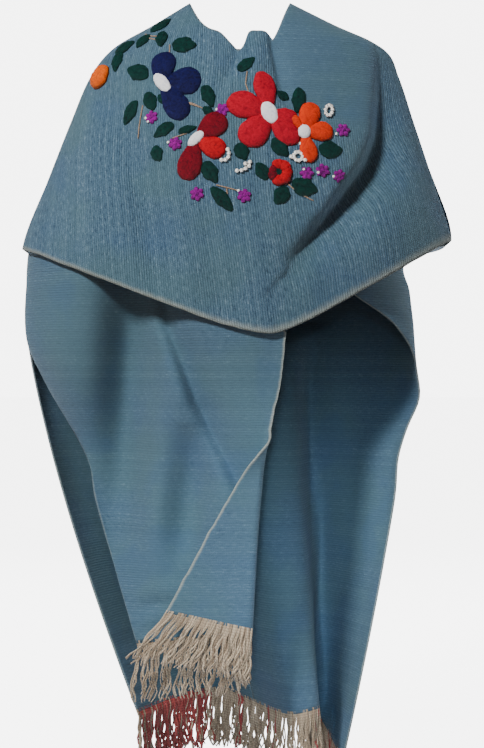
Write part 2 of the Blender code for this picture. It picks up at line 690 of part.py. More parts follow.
def trim(cloth):
    """Felt flowers, leaves and stars and the bead rings on the chest wrap."""
    for flower in FLOWERS:
        outline = petal_outline(flower.petals, flower.core)
        name = "flower_" + flower.name
        raised_shape(name, cloth, flower.x, flower.z, outline, FLOWER_HEIGHT, flower.finish)
        if flower.centre:
            raised_shape("centre_" + flower.name, cloth, flower.x, flower.z,
                         oval_outline(*flower.centre), CENTRE_HEIGHT, "felt_white",
                         APPLIQUE_GAP + FLOWER_HEIGHT + CENTRE_GAP)
    for i, leaf in enumerate(LEAVES):
        outline = oval_outline(leaf.length, leaf.width, leaf.turn, tip=LEAF_TIP)
        raised_shape(f"leaf_{i + 1:02d}", cloth, leaf.x, leaf.z, outline, LEAF_HEIGHT, "felt_leaf")
    for i, (x, z) in enumerate(STARS):
        raised_shape(f"star_{i + 1}", cloth, x, z, star_outline(STAR_RADIUS), STAR_HEIGHT, "felt_violet")
    for i, (x, z) in enumerate(RINGS):
        ring_bead(f"ring_{i + 1}", cloth, x, z)


def main():
    for old in list(bpy.data.objects):
        bpy.data.objects.remove(old, do_unlink=True)
    wrap = cloth_pieces()
    fringes()
    trim(Cloth(wrap))


main()
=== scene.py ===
"""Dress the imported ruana: woven cloth, warp fringe, raised felt and beads, floor, light and camera.

Metres, +Z up. The garment faces -Y and +X is the viewer's right. The left length crosses the chest
and is thrown over the opposite shoulder; the right length hangs under it, its slit edge turned back.
"""

import logging
import math
import random
from bisect import bisect_right
from dataclasses import dataclass, field
from enum import Enum
from typing import Callable, Iterable, Optional, Sequence

import bmesh
import bpy
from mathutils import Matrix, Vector, noise
from mathutils.bvhtree import BVHTree


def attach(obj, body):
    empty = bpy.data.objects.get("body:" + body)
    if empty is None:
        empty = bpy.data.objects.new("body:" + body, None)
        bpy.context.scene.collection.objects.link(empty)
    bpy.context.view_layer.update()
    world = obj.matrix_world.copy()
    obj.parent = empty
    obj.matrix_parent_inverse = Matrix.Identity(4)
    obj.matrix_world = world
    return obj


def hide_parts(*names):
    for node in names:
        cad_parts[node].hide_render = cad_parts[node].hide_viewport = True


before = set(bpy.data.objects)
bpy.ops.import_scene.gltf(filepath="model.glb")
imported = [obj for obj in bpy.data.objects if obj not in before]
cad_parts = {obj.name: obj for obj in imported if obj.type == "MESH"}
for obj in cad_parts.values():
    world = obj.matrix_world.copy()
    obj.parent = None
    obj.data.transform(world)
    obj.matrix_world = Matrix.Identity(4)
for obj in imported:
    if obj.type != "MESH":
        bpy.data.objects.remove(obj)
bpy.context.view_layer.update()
BODY = "root"
log = logging.getLogger("ruana")

Material = bpy.types.Material
Piece = bpy.types.Object
Mesh = bmesh.types.BMesh
Socket = bpy.types.NodeSocket
Pair = tuple[float, float]
Triple = tuple[float, float, float]
Paint = tuple[float, float, float, float]
Seat = tuple[Vector, Vector, Vector, Vector]
Curve = Callable[[float], float]
Place = Callable[[int, int], Vector]

UP = Vector((0.0, 0.0, 1.0))
FRONT = Vector((0.0, -1.0, 0.0))
REAR = Vector((0.0, 1.0, 0.0))
ASKEW = Vector((0.31, 0.90, 0.30))


def clamp(value: float, low: float = 0.0, high: float = 1.0) -> float:
    """Keep a value between two others."""
    return max(low, min(high, value))


def mix(a: float, b: float, share: float) -> float:
    """Go from a to b by a share."""
    return a + (b - a) * share


def smooth(share: float) -> float:
    """Ease a share in and out, held between 0 and 1."""
    share = clamp(share)
    return share * share * (3.0 - 2.0 * share)


def ramp(value: float, start: float, stop: float) -> float:
    """Ease from 0 at start to 1 at stop."""
    return smooth((value - start) / (stop - start))


def loose(share: float) -> float:
    """Give how freely cloth moves between two held edges, 0 at both and 1 midway."""
    return math.sin(math.pi * share) ** 0.5


def rounded(across: float, bend: float) -> float:
    """Round off the foot of a V; its height is 0 there and 1 at both ends."""
    return (math.sqrt(across ** 2 + bend ** 2) - bend) / (math.sqrt(1.0 + bend ** 2) - bend)


class SmoothTable:
    """Smooth curves through the columns of a short table."""

    def __init__(self, rows: Sequence[object], key: str) -> None:
        """Read the rows.

        Args:
            rows: table rows, in the order of their key column.
            key: the name of the key column.
        """
        self.rows = rows
        keys = [getattr(row, key) for row in rows]
        self.sign = -1.0 if keys[0] > keys[-1] else 1.0
        self.keys = [self.sign * value for value in keys]
        self.columns: dict[str, list[float]] = {}

    def at(self, column: str, key: float) -> float:
        """Read a column at a key.

        Args:
            column: the name of the column.
            key: where to read it; held to the table's ends.

        Returns:
            The value on the curve.
        """
        if column not in self.columns:
            self.columns[column] = [getattr(row, column) for row in self.rows]
        keys, values = self.keys, self.columns[column]
        place = clamp(self.sign * key, keys[0], keys[-1])
        index = min(bisect_right(keys, place) - 1, len(keys) - 2)
        step = keys[index + 1] - keys[index]
        t = (place - keys[index]) / step
        value = mix(values[index], values[index + 1], 3.0 * t ** 2 - 2.0 * t ** 3)
        start = t ** 3 - 2.0 * t ** 2 + t
        stop = t ** 3 - t ** 2
        return value + step * (start * self.slope(values, index) + stop * self.slope(values, index + 1))

    def slope(self, values: Sequence[float], index: int) -> float:
        """Give the slope of the curve at one row."""
        low, high = max(index - 1, 0), min(index + 1, len(self.keys) - 1)
        return (values[high] - values[low]) / (self.keys[high] - self.keys[low])

    def key_for(self, column: str, value: float, low: float, high: float) -> float:
        """Find the key at which a falling column has a value.

        Args:
            column: the name of the column, falling from low to high.
            value: the value to find.
            low: the first key to look from.
            high: the last key to look to.

        Returns:
            The key, by halving.
        """
        for _ in range(40):
            middle = 0.5 * (low + high)
            if self.at(column, middle) > value:
                low = middle
            else:
                high = middle
        return 0.5 * (low + high)


@dataclass(frozen=True)
class Level:
    """Half widths and depths of the wrapped space at one height."""

    z: float
    left: float
    right: float
    front: float
    back: float


@dataclass(frozen=True)
class Fold:
    """A trough of the cloth along a path in x and z; a negative depth stands out."""

    path: tuple[Pair, ...]
    depth: float
    left_flank: float
    right_flank: float
    ends: float = 0.6

    def nearest(self, x: float, z: float) -> Triple:
        """Find the nearest place of the path.

        Args:
            x: the place across.
            z: the height.

        Returns:
            The distance, the side of the path by its sign, and the share along it.
        """
        best, side, share = 1e9, 0.0, 0.0
        last = len(self.path) - 1
        for i in range(last):
            (ax, az), (bx, bz) = self.path[i], self.path[i + 1]
            dx, dz = bx - ax, bz - az
            t = clamp(((x - ax) * dx + (z - az) * dz) / (dx * dx + dz * dz))
            off_x, off_z = x - ax - dx * t, z - az - dz * t
            distance = math.hypot(off_x, off_z)
            if distance < best:
                best, side, share = distance, off_x * -dz + off_z * dx, (i + t) / last
        return best, side, share

    def push(self, x: float, z: float) -> float:
        """Give how far the fold pushes the cloth in at a place of the front view.

        Args:
            x: the place across.
            z: the height.

        Returns:
            The depth there.
        """
        distance, side, share = self.nearest(x, z)
        flank = self.right_flank if side > 0.0 else self.left_flank
        if distance > 3.0 * flank:
            return 0.0
        fade = math.sin(math.pi * clamp(0.06 + 0.88 * share)) ** self.ends
        return self.depth * fade * math.exp(-(distance / flank) ** 2)


def pushed(folds: Iterable[Fold], x: float, z: float) -> float:
    """Add up what several folds do at a place of the front view."""
    return sum(fold.push(x, z) for fold in folds)


@dataclass
class WornSpace:
    """The hollow that the garment wraps, from the shoulders down."""

    layer: float = 0.009
    shoulder_drop: float = 0.6
    shoulder_foot: float = -0.130
    levels: tuple[Level, ...] = (
        Level(0.000, 0.0725, 0.0725, 0.050, 0.050),
        Level(-0.034, 0.1280, 0.1400, 0.075, 0.077),
        Level(-0.066, 0.1830, 0.2080, 0.093, 0.094),
        Level(-0.105, 0.2150, 0.2290, 0.112, 0.112),
        Level(-0.170, 0.2430, 0.2500, 0.136, 0.128),
        Level(-0.255, 0.2765, 0.2775, 0.153, 0.136),
        Level(-0.348, 0.3125, 0.3065, 0.163, 0.136),
        Level(-0.430, 0.3180, 0.3100, 0.166, 0.132),
        Level(-0.620, 0.3180, 0.3000, 0.166, 0.126),
        Level(-1.150, 0.3180, 0.3000, 0.166, 0.120),
    )

    def __post_init__(self) -> None:
        """Ready the table of levels."""
        self.table = SmoothTable(self.levels, "z")

    def half_width(self, side: float, z: float) -> float:
        """Give the half width at a height, on the side of a sign."""
        return self.table.at("right" if side >= 0.0 else "left", z)

    def drop(self, inset: float, z: float) -> float:
        """Give how far an under layer lies lower where the shoulder is nearly level."""
        return inset * self.shoulder_drop * smooth((z - self.shoulder_foot) / -self.shoulder_foot)

    def on_front(self, fraction: float, z: float, inset: float) -> Vector:
        """Place a point on the front of the space.

        Args:
            fraction: the share of the half width, -1 at the viewer's left.
            z: the height.
            inset: how far an under layer lies inside.

        Returns:
            The point.
        """
        fraction = clamp(fraction, -1.0, 1.0)
        x = fraction * (self.half_width(fraction, z) - inset)
        y = -(self.table.at("front", z) - inset) * math.sqrt(1.0 - fraction ** 2)
        return Vector((x, y, z - self.drop(inset, z)))


def unevenness(point: Vector, reach: float, amount: float, seed: float) -> float:
    """Give a gentle swell of cloth at a place.

    Args:
        point: the place.
        reach: the size of a swell.
        amount: the height of a swell.
        seed: moves the pattern, so that no two cloths match.

    Returns:
        The height there.
    """
    return amount * noise.noise(Vector((point.x / reach + seed, point.y / reach, point.z / reach)))


class ClothLength:
    """One woven length, made of grids that share the points where they meet."""

    weld: float = 0.0002

    def __init__(self, name: str) -> None:
        """Start an empty length.

        Args:
            name: the piece's name.
        """
        self.name = name
        self.mesh = bmesh.new()
        self.threads = self.mesh.loops.layers.uv.new("Threads")
        self.rim = self.mesh.verts.layers.float.new("rim")
        self.turn = self.mesh.verts.layers.float.new("turn")
        self.area = 0.0

    def add_grid(self, columns: int, rows: int, place: Place, rim: Callable[[int, int, "Spread"], float],
                 turn: Callable[[Vector], float], zero_column: int = 0, plumb: bool = False) -> "Spread":
        """Add one grid of the length.

        Args:
            columns: cells across.
            rows: cells down.
            place: gives a corner's point from its column and row.
            rim: gives a corner's distance to the nearest woven edge.
            turn: gives how far the ribs turn level at a point, 0 to 1.
            zero_column: the column from which the threads are counted.
            plumb: whether the threads run level and plumb, and not along the grid.

        Returns:
            What the grid measures.
        """
        points = [[place(i, j) for j in range(rows + 1)] for i in range(columns + 1)]
        spread = Spread(points, zero_column)
        made = bmesh.ops.create_grid(self.mesh, x_segments=columns, y_segments=rows, size=0.5)
        corners = {}
        for vert in made["verts"]:
            i = round((vert.co.x + 0.5) * columns)
            j = round((0.5 - vert.co.y) * rows)
            corners[vert] = (i, j)
        for vert, (i, j) in corners.items():
            vert.co = points[i][j]
            vert[self.rim] = rim(i, j, spread)
            vert[self.turn] = turn(points[i][j])
        for face in {face for vert in corners for face in vert.link_faces}:
            for loop in face.loops:
                i, j = corners[loop.vert]
                loop[self.threads].uv = spread.plumb_threads(i, j) if plumb else spread.threads(i, j)
            self.area += face.calc_area()
        return spread

    def tuck(self, tip: Vector, shift: Vector, reach: float) -> None:
        """Draw the cloth in round a point, most at the point itself.

        Args:
            tip: the point.
            shift: how far the point itself moves.
            reach: how far round it the cloth moves.
        """
        for vert in self.mesh.verts:
            away = (vert.co - tip).length
            if away < reach:
                vert.co += shift * (1.0 - away / reach)

    def finish(self, wall: float, material: Material) -> Piece:
        """Close the length into a wall of cloth.

        Args:
            wall: the thickness of the cloth.
            material: the finish.

        Returns:
            The piece.
        """
        bmesh.ops.remove_doubles(self.mesh, verts=self.mesh.verts, dist=self.weld)
        piece = link_piece(self.name, self.mesh, material)
        thick = piece.modifiers.new("Cloth wall", "SOLIDIFY")
        thick.thickness = wall
        thick.offset = 0.0
        return piece


class Spread:
    """Lengths along the threads of a grid, measured from one column and from the first row."""

    def __init__(self, points: Sequence[Sequence[Vector]], zero_column: int) -> None:
        """Measure the grid.

        Args:
            points: the corners' points, by column and row.
            zero_column: the column from which the threads are counted.
        """
        columns, rows = len(points) - 1, len(points[0]) - 1
        self.points = points
        self.across, self.level, self.down = (
            [[0.0] * (rows + 1) for _ in range(columns + 1)] for _ in range(3))
        for i in range(1, columns + 1):
            for j in range(rows + 1):
                step = points[i][j] - points[i - 1][j]
                self.across[i][j] = self.across[i - 1][j] + step.length
                self.level[i][j] = self.level[i - 1][j] + math.hypot(step.x, step.y)
        for j in range(1, rows + 1):
            for i in range(columns + 1):
                step = (points[i][j] - points[i][j - 1]).length
                self.down[i][j] = self.down[i][j - 1] + step
        self.wide = [self.across[columns][j] for j in range(rows + 1)]
        self.long = [self.down[i][rows] for i in range(columns + 1)]
        for j in range(rows + 1):
            start = self.across[zero_column][j]
            level_start = self.level[zero_column][j]
            for i in range(columns + 1):
                self.across[i][j] -= start
                self.level[i][j] -= level_start
        self.start = [-self.across[0][j] for j in range(rows + 1)]

    def threads(self, i: int, j: int) -> Pair:
        """Give the lengths along the grid's own threads."""
        return self.across[i][j], self.down[i][j]

    def plumb_threads(self, i: int, j: int) -> Pair:
        """Give the level length round the body and the depth below the neck."""
        return self.level[i][j], -self.points[i][j].z

    def from_left(self, i: int, j: int) -> float:
        """Give the distance to the first column along a row."""
        return self.across[i][j] + self.start[j]

    def from_right(self, i: int, j: int) -> float:
        """Give the distance to the last column along a row."""
        return self.wide[j] - self.from_left(i, j)

    def from_hem(self, i: int, j: int) -> float:
        """Give the distance to the last row along a column."""
        return self.long[i] - self.down[i][j]


def show(thing: Piece) -> None:
    """Link an object to the scene."""
    bpy.context.scene.collection.objects.link(thing)


def link_piece(name: str, mesh: Mesh, material: Material) -> Piece:
    """Make a named piece from a mesh: faces outwards, shaded smooth, riding on the body.

    Args:
        name: the piece's name.
        mesh: its shape, in place; it is used up.
        material: its finish.

    Returns:
        The piece.
    """
    bmesh.ops.recalc_face_normals(mesh, faces=mesh.faces)
    data = bpy.data.meshes.new(name)
    mesh.to_mesh(data)
    mesh.free()
    data.materials.append(material)
    for polygon in data.polygons:
        polygon.use_smooth = True
    piece = bpy.data.objects.new(name, data)
    show(piece)
    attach(piece, BODY)
    log.info("%s: %d faces", name, len(data.polygons))
    return piece


@dataclass(frozen=True)
class WrapRow:
    """One section of the chest wrap; bend 0 is a plain V and a large one is round."""

    r: float
    right_z: float
    left_z: float
    middle_z: float
    middle_x: float
    bend: float


@dataclass(frozen=True)
class NeckPoint:
    """One point of the wrap's neck edge as it is seen from the front."""

    x: float
    z: float


@dataclass
class ChestWrap:
    """The left front, drawn across the chest from shoulder to shoulder."""

    space: WornSpace
    columns: int = 190
    rows: int = 100
    swell: float = 0.0016
    swell_reach: float = 0.075
    hem_wave: float = 0.0012
    hem_wave_reach: float = 0.030
    hem_wave_from: float = 0.93
    neck_half: float = 0.0725
    neck_reach: float = 0.42
    table_rows: tuple[WrapRow, ...] = (
        WrapRow(0.00, 0.000, 0.000, -0.080, 0.004, 1.20),
        WrapRow(0.20, -0.047, -0.055, -0.152, 0.005, 0.90),
        WrapRow(0.42, -0.096, -0.110, -0.240, 0.008, 0.60),
        WrapRow(0.60, -0.170, -0.195, -0.315, 0.015, 0.40),
        WrapRow(0.80, -0.256, -0.276, -0.400, 0.028, 0.24),
        WrapRow(1.00, -0.341, -0.355, -0.480, 0.038, 0.13),
    )
    neck: tuple[NeckPoint, ...] = (
        NeckPoint(-0.0725, 0.000), NeckPoint(-0.064, -0.022), NeckPoint(-0.055, -0.039),
        NeckPoint(-0.044, -0.050), NeckPoint(-0.027, -0.058), NeckPoint(-0.012, -0.075),
        NeckPoint(-0.001, -0.085), NeckPoint(0.006, -0.077), NeckPoint(0.012, -0.059),
        NeckPoint(0.024, -0.056), NeckPoint(0.037, -0.058), NeckPoint(0.044, -0.069),
        NeckPoint(0.052, -0.056), NeckPoint(0.061, -0.031), NeckPoint(0.0725, 0.000),
    )
    folds: tuple[Fold, ...] = (
        Fold(((0.194, -0.030), (0.200, -0.090), (0.197, -0.150), (0.191, -0.207), (0.177, -0.245),
              (0.154, -0.277), (0.120, -0.322), (0.094, -0.354), (0.070, -0.384)),
             0.041, 0.0085, 0.046, 1.1),
        Fold(((0.181, -0.110), (0.174, -0.200), (0.152, -0.250), (0.105, -0.310)),
             -0.005, 0.030, 0.010),
        Fold(((0.243, -0.150), (0.252, -0.240), (0.262, -0.320)), -0.006, 0.026, 0.030),
        Fold(((-0.205, -0.130), (-0.160, -0.190), (-0.137, -0.270), (-0.122, -0.352),
              (-0.108, -0.428)), 0.015, 0.022, 0.034),
        Fold(((-0.160, -0.150), (-0.118, -0.215), (-0.095, -0.300)), -0.004, 0.030, 0.030),
        Fold(((-0.236, -0.190), (-0.250, -0.290), (-0.262, -0.345)), 0.004, 0.024, 0.030),
        Fold(((0.040, -0.300), (0.030, -0.380), (0.034, -0.470)), -0.004, 0.030, 0.030),
        Fold(((0.041, -0.052), (0.044, -0.083), (0.052, -0.125), (0.060, -0.160)),
             0.007, 0.0035, 0.016),
        Fold(((0.024, -0.050), (0.022, -0.100), (0.018, -0.160)), -0.006, 0.014, 0.014),
        Fold(((0.004, -0.070), (-0.004, -0.094), (-0.012, -0.118), (-0.022, -0.145)),
             0.006, 0.014, 0.0035),
        Fold(((-0.050, -0.330), (-0.040, -0.400), (-0.030, -0.450)), 0.003, 0.020, 0.020),
        Fold(((0.140, -0.330), (0.110, -0.385), (0.080, -0.430)), -0.004, 0.020, 0.024),
    )

    def __post_init__(self) -> None:
        """Ready the tables."""
        self.table = SmoothTable(self.table_rows, "r")
        self.neck_table = SmoothTable(self.neck, "x")

    def point(self, s: float, r: float, inset: float = 0.0) -> Vector:
        """Place a point of the wrap.

        Args:
            s: the share from the viewer's right ridge to the left one.
            r: the share from the neck to the hem.
            inset: how far an under layer lies inside the wrap.

        Returns:
            The point.
        """
        row = {name: self.table.at(name, r) for name in ("right_z", "left_z", "middle_z", "middle_x")}
        across = math.cos(math.pi * s)
        side_z = row["right_z"] if across > 0.0 else row["left_z"]
        side_x = self.space.half_width(across, side_z) * (1.0 if across > 0.0 else -1.0)
        z = mix(row["middle_z"], side_z, rounded(across, self.table.at("bend", r)))
        x = mix(row["middle_x"], side_x, abs(across))
        z += self.neck_shift(s) * (1.0 - smooth(r / self.neck_reach))
        point = self.space.on_front(x / self.space.half_width(x, z), z, inset)
        hold = loose(s)
        point.y += pushed(self.folds, x, z) * hold
        if inset == 0.0:
            point.y += unevenness(point, self.swell_reach, self.swell, 3.0) * hold
            wave = unevenness(point, self.hem_wave_reach, self.hem_wave, 9.0)
            point.z += wave * ramp(r, self.hem_wave_from, 1.0) * hold
        return point

    def neck_shift(self, s: float) -> float:
        """Give how far the real neck edge lies above the plain curve at a place.

        Args:
            s: the share from the viewer's right ridge to the left one.

        Returns:
            The height.
        """
        across = math.cos(math.pi * s)
        plain_z = mix(self.table.at("middle_z", 0.0), 0.0, rounded(across, self.table.at("bend", 0.0)))
        plain_x = mix(self.table.at("middle_x", 0.0), math.copysign(self.neck_half, across), abs(across))
        return self.neck_table.at("z", plain_x) - plain_z

    def turn(self, point: Vector) -> float:
        """Give how far the ribs lie level: they turn where the cloth comes down from the shoulder.

        Args:
            point: the place.

        Returns:
            The share, 1 where they lie level.
        """
        crease = 0.040 + 0.16 * max(0.0, -0.06 - point.z)
        side = ramp(point.x, crease - 0.004, crease + 0.005)
        foot = ramp(point.z + 0.25 * point.x, -0.185, -0.120)
        fold = 1.0 - ramp(point.x + 0.10 * point.z, 0.168, 0.190)
        return side * foot * fold

    def rim(self, i: int, j: int, spread: Spread) -> float:
        """Give the distance to the woven edges: the hem and, narrower, the neck."""
        hem = spread.from_hem(i, j) * mix(0.75, 1.4, ramp(i / self.columns, 0.45, 0.75)) + 0.0015
        return min(hem, spread.down[i][j] * 1.5 + 0.007)

    def place(self, i: int, j: int) -> Vector:
        """Place a corner of the grid."""
        return self.point(i / self.columns, j / self.rows)

    def add_to(self, length: ClothLength) -> Spread:
        """Weave the wrap into the left length and give what its grid measures."""
        return length.add_grid(self.columns, self.rows, self.place, self.rim, self.turn,
                               self.columns // 2, plumb=True)


@dataclass(frozen=True)
class BackRow:
    """One section of the back down to where it hangs free."""

    v: float
    left_z: float
    right_z: float
    middle_z: float
    turn: float
    tuck: float


@dataclass(frozen=True)
class HemStation:
    """One turn of the back hem's folds, seen from above."""

    s: float
    x: float
    y: float
    z: float
    power: float


@dataclass
class Back:
    """The backs of both lengths, sewn together down the middle."""

    space: WornSpace
    wrap: ChestWrap
    seam: float = 0.41
    hang_from: float = -0.460
    left_columns: int = 96
    right_columns: int = 70
    hanging_rows: int = 84
    ripple: float = 0.0030
    ripple_reach: float = 0.110
    edge_share: float = 0.08
    flare: float = 0.045
    flare_z: float = -0.570
    flare_reach: float = 0.034
    waist: float = 0.020
    waist_z: float = -0.660
    folds: tuple[Fold, ...] = (
        Fold(((0.080, -0.440), (0.092, -0.574), (0.098, -0.695), (0.118, -0.855), (0.138, -1.030)),
             0.060, 0.016, 0.034),
        Fold(((0.215, -0.520), (0.200, -0.660), (0.190, -0.800)), -0.012, 0.030, 0.030),
    )
    table_rows: tuple[BackRow, ...] = (
        BackRow(0.00, 0.000, 0.000, -0.047, 1.00, 0.00),
        BackRow(0.07, -0.055, -0.050, -0.110, 1.00, 0.00),
        BackRow(0.14, -0.120, -0.110, -0.180, 1.00, 0.00),
        BackRow(0.23, -0.220, -0.205, -0.265, 1.00, 0.00),
        BackRow(0.33, -0.345, -0.344, -0.374, 1.00, 0.00),
        BackRow(0.345, -0.358, -0.353, -0.388, 1.06, 0.13),
        BackRow(0.36, -0.372, -0.367, -0.402, 1.12, 0.23),
        BackRow(0.40, -0.415, -0.402, -0.435, 1.30, 0.24),
        BackRow(0.47, -0.478, -0.470, -0.505, 1.16, 0.18),
        BackRow(0.54, -0.545, -0.545, -0.575, 1.02, 0.15),
        BackRow(1.00, -1.013, -1.100, -1.015, 1.00, 0.15),
    )
    hem: tuple[HemStation, ...] = (
        HemStation(0.00, -0.145, -0.060, -1.013, 1.35),
        HemStation(0.14, -0.094, 0.045, -1.012, 1.35),
        HemStation(0.30, -0.024, 0.100, -1.011, 1.35),
        HemStation(0.41, 0.022, 0.050, -1.020, 1.05),
        HemStation(0.50, 0.072, -0.030, -1.022, 0.52),
        HemStation(0.57, 0.113, -0.018, -1.016, 0.50),
        HemStation(0.70, 0.098, 0.094, -1.040, 1.05),
        HemStation(0.79, 0.124, 0.098, -1.058, 1.15),
        HemStation(1.00, 0.150, 0.015, -1.100, 1.35),
    )

    def __post_init__(self) -> None:
        """Ready the tables."""
        self.table = SmoothTable(self.table_rows, "v")
        self.hem_table = SmoothTable(self.hem, "s")

    def point(self, s: float, v: float) -> Vector:
        """Place a point of the back.

        Args:
            s: the share from the viewer's left edge round the back to the right one.
            v: the share from the neck to the hem.

        Returns:
            The point.
        """
        free_from = self.table_rows[-2].v
        held = min(v, free_from)
        left_z = self.table.at("left_z", held)
        right_z = self.table.at("right_z", held)
        middle_z = self.table.at("middle_z", held)
        angle = math.pi * s * (1.0 + (self.table.at("turn", v) - 1.0) * smooth((s - 0.45) / 0.55))
        across = -math.cos(angle)
        droop = mix(1.6, 0.8, ramp(v, 0.05, 0.30)) if s > 0.5 else 1.6
        z = mix(middle_z, mix(left_z, right_z, s), clamp(abs(2.0 * s - 1.0)) ** droop)
        hem = Vector([self.hem_table.at(axis, s) for axis in "xyz"])
        z = mix(z, hem.z, clamp((v - free_from) / (1.0 - free_from)))
        tuck = self.table.at("tuck", v) * smooth((s - 0.5) / 0.4)
        inset = self.space.layer * (1.0 - smooth(s / 0.6))
        flare = self.flare * math.exp(-((z - self.flare_z) / self.flare_reach) ** 2)
        flare -= self.waist * math.exp(-((z - self.waist_z) / self.flare_reach) ** 2)
        tuck -= flare * ramp(s, 0.60, 0.90)
        width = self.space.half_width(across, z) * (1.0 - tuck) - inset
        if math.sin(angle) >= 0.0:
            y = (self.space.table.at("back", z) - inset) * math.sin(angle)
        else:
            y = (self.space.table.at("front", z) - self.space.layer) * math.sin(angle)
        shell = Vector((across * width, y, z))
        share = clamp((self.hang_from - z) / (self.hang_from - hem.z))
        power = self.hem_table.at("power", s)
        placed = Vector((mix(shell.x, hem.x, share ** max(power, 1.2)),
                         mix(shell.y, hem.y, share ** power), z - self.space.drop(inset, z)))
        hold = clamp(s / self.edge_share) * clamp((1.0 - s) / self.edge_share) * ramp(v, 0.04, 0.30)
        placed.y += unevenness(placed, self.ripple_reach, self.ripple, 21.0) * hold
        placed.y += pushed(self.folds, placed.x, placed.z) * ramp(s, 0.57, 0.62) * hold
        return placed

    def rows_for(self, ridge: Sequence[float], column: str) -> list[float]:
        """Give the shares down the back: level with a ridge's points first, then even to the hem.

        Args:
            ridge: the heights of the points that the back shares with a front.
            column: the table's column for that side.

        Returns:
            The shares from neck to hem.
        """
        held = [0.0]
        held += [self.table.key_for(column, z, 0.0, 0.36) for z in ridge[1:]]
        rest = self.hanging_rows
        return held + [mix(held[-1], 1.0, (k + 1) / rest) for k in range(rest)]

    def add_side(self, length: ClothLength, ridge: Sequence[float], left: bool) -> Spread:
        """Weave one side of the back.

        Args:
            length: the length that the side belongs to.
            ridge: the heights that the side shares with its front.
            left: whether it is the left length's, at the viewer's right.

        Returns:
            What the grid measures.
        """
        shares = self.rows_for(ridge, "right_z" if left else "left_z")
        columns = self.left_columns if left else self.right_columns
        corner = len(ridge) - 1
        start, stop = (self.seam, 1.0) if left else (0.0, self.seam)

        def place(i: int, j: int) -> Vector:
            """Place a corner of the grid."""
            return self.point(mix(start, stop, i / columns), shares[j])

        def rim(i: int, j: int, spread: Spread) -> float:
            """Give the distance to the woven edges: the outer one below the arm, the seam and the neck.

            Args:
                i: the corner's column.
                j: the corner's row.
                spread: what the grid measures.

            Returns:
                The distance.
            """
            side = spread.from_right(i, j) if left else spread.from_left(i, j)
            above = spread.down[i][corner] - spread.down[i][j]
            side = math.hypot(side, max(0.0, above) * 3.0)
            middle = spread.from_left(i, j) if left else spread.from_right(i, j)
            return min(side * 1.7 + 0.0060, middle * 1.6 + 0.007, spread.down[i][j] + 0.007)

        zero = 0 if left else columns
        return length.add_grid(columns, len(shares) - 1, place, rim, lambda point: 1.0, zero, plumb=True)


@dataclass
class ThrownEnd:
    """The end of the left length, thrown over the shoulder and hanging down the back."""

    space: WornSpace
    wrap: ChestWrap
    rows: int = 74
    direction: Pair = (0.758, -0.652)
    reach: float = 0.150
    neck_end: Pair = (0.050, -0.430)
    hem_end: Pair = (-0.170, -0.600)
    lift: float = 0.005
    spread_power: float = 1.3
    waves: float = 2.5
    wave_depth: float = 0.014
    swell: float = 0.0020
    swell_reach: float = 0.06

    def point(self, s: float, t: float) -> Vector:
        """Place a point of the thrown end.

        Args:
            s: the share along the shoulder from the neck to the hem side.
            t: the share from the shoulder to the fringed end.

        Returns:
            The point.
        """
        t = t ** self.spread_power
        start_z = self.wrap.table.at("left_z", s)
        start_x = -self.space.half_width(-1.0, start_z)
        end_x = mix(self.neck_end[0], self.hem_end[0], s)
        end_z = mix(self.neck_end[1], self.hem_end[1], s)
        knee_x = start_x + self.reach * self.direction[0]
        knee_z = start_z + self.reach * self.direction[1]
        x = (1.0 - t) ** 2 * start_x + 2.0 * t * (1.0 - t) * knee_x + t ** 2 * end_x
        z = (1.0 - t) ** 2 * start_z + 2.0 * t * (1.0 - t) * knee_z + t ** 2 * end_z
        fraction = clamp(x / self.space.half_width(x, z), -1.0, 1.0)
        wave = 0.5 + 0.5 * math.cos(2.0 * math.pi * self.waves * s)
        lift = self.lift * smooth(t / 0.12)
        lift += self.space.layer * smooth((x + self.space.half_width(-1.0, z)) / 0.2)
        y = self.space.table.at("back", z) * math.sqrt(1.0 - fraction ** 2) + lift
        point = Vector((x, y + self.wave_depth * wave * smooth(t), z))
        point.y += abs(unevenness(point, self.swell_reach, self.swell, 33.0)) * smooth(t / 0.2)
        return point

    def place(self, i: int, j: int) -> Vector:
        """Place a corner of the grid."""
        return self.point(i / self.wrap.rows, j / self.rows)

    def rim(self, i: int, j: int, spread: Spread) -> float:
        """Give the distance to the long woven edges."""
        return min(spread.from_left(i, j) * 1.5 + 0.003, spread.from_right(i, j))

    def add_to(self, length: ClothLength) -> Spread:
        """Weave the thrown end into the left length and give what its grid measures."""
        return length.add_grid(self.wrap.rows, self.rows, self.place, self.rim, lambda point: 0.6)


@dataclass(frozen=True)
class HangRow:
    """One section of the hanging front: its outer edge, then its fold line."""

    w: float
    left: Triple
    right: Triple


@dataclass(frozen=True)
class EdgePoint:
    """One point of a hanging edge."""

    w: float
    x: float
    y: float
    z: float


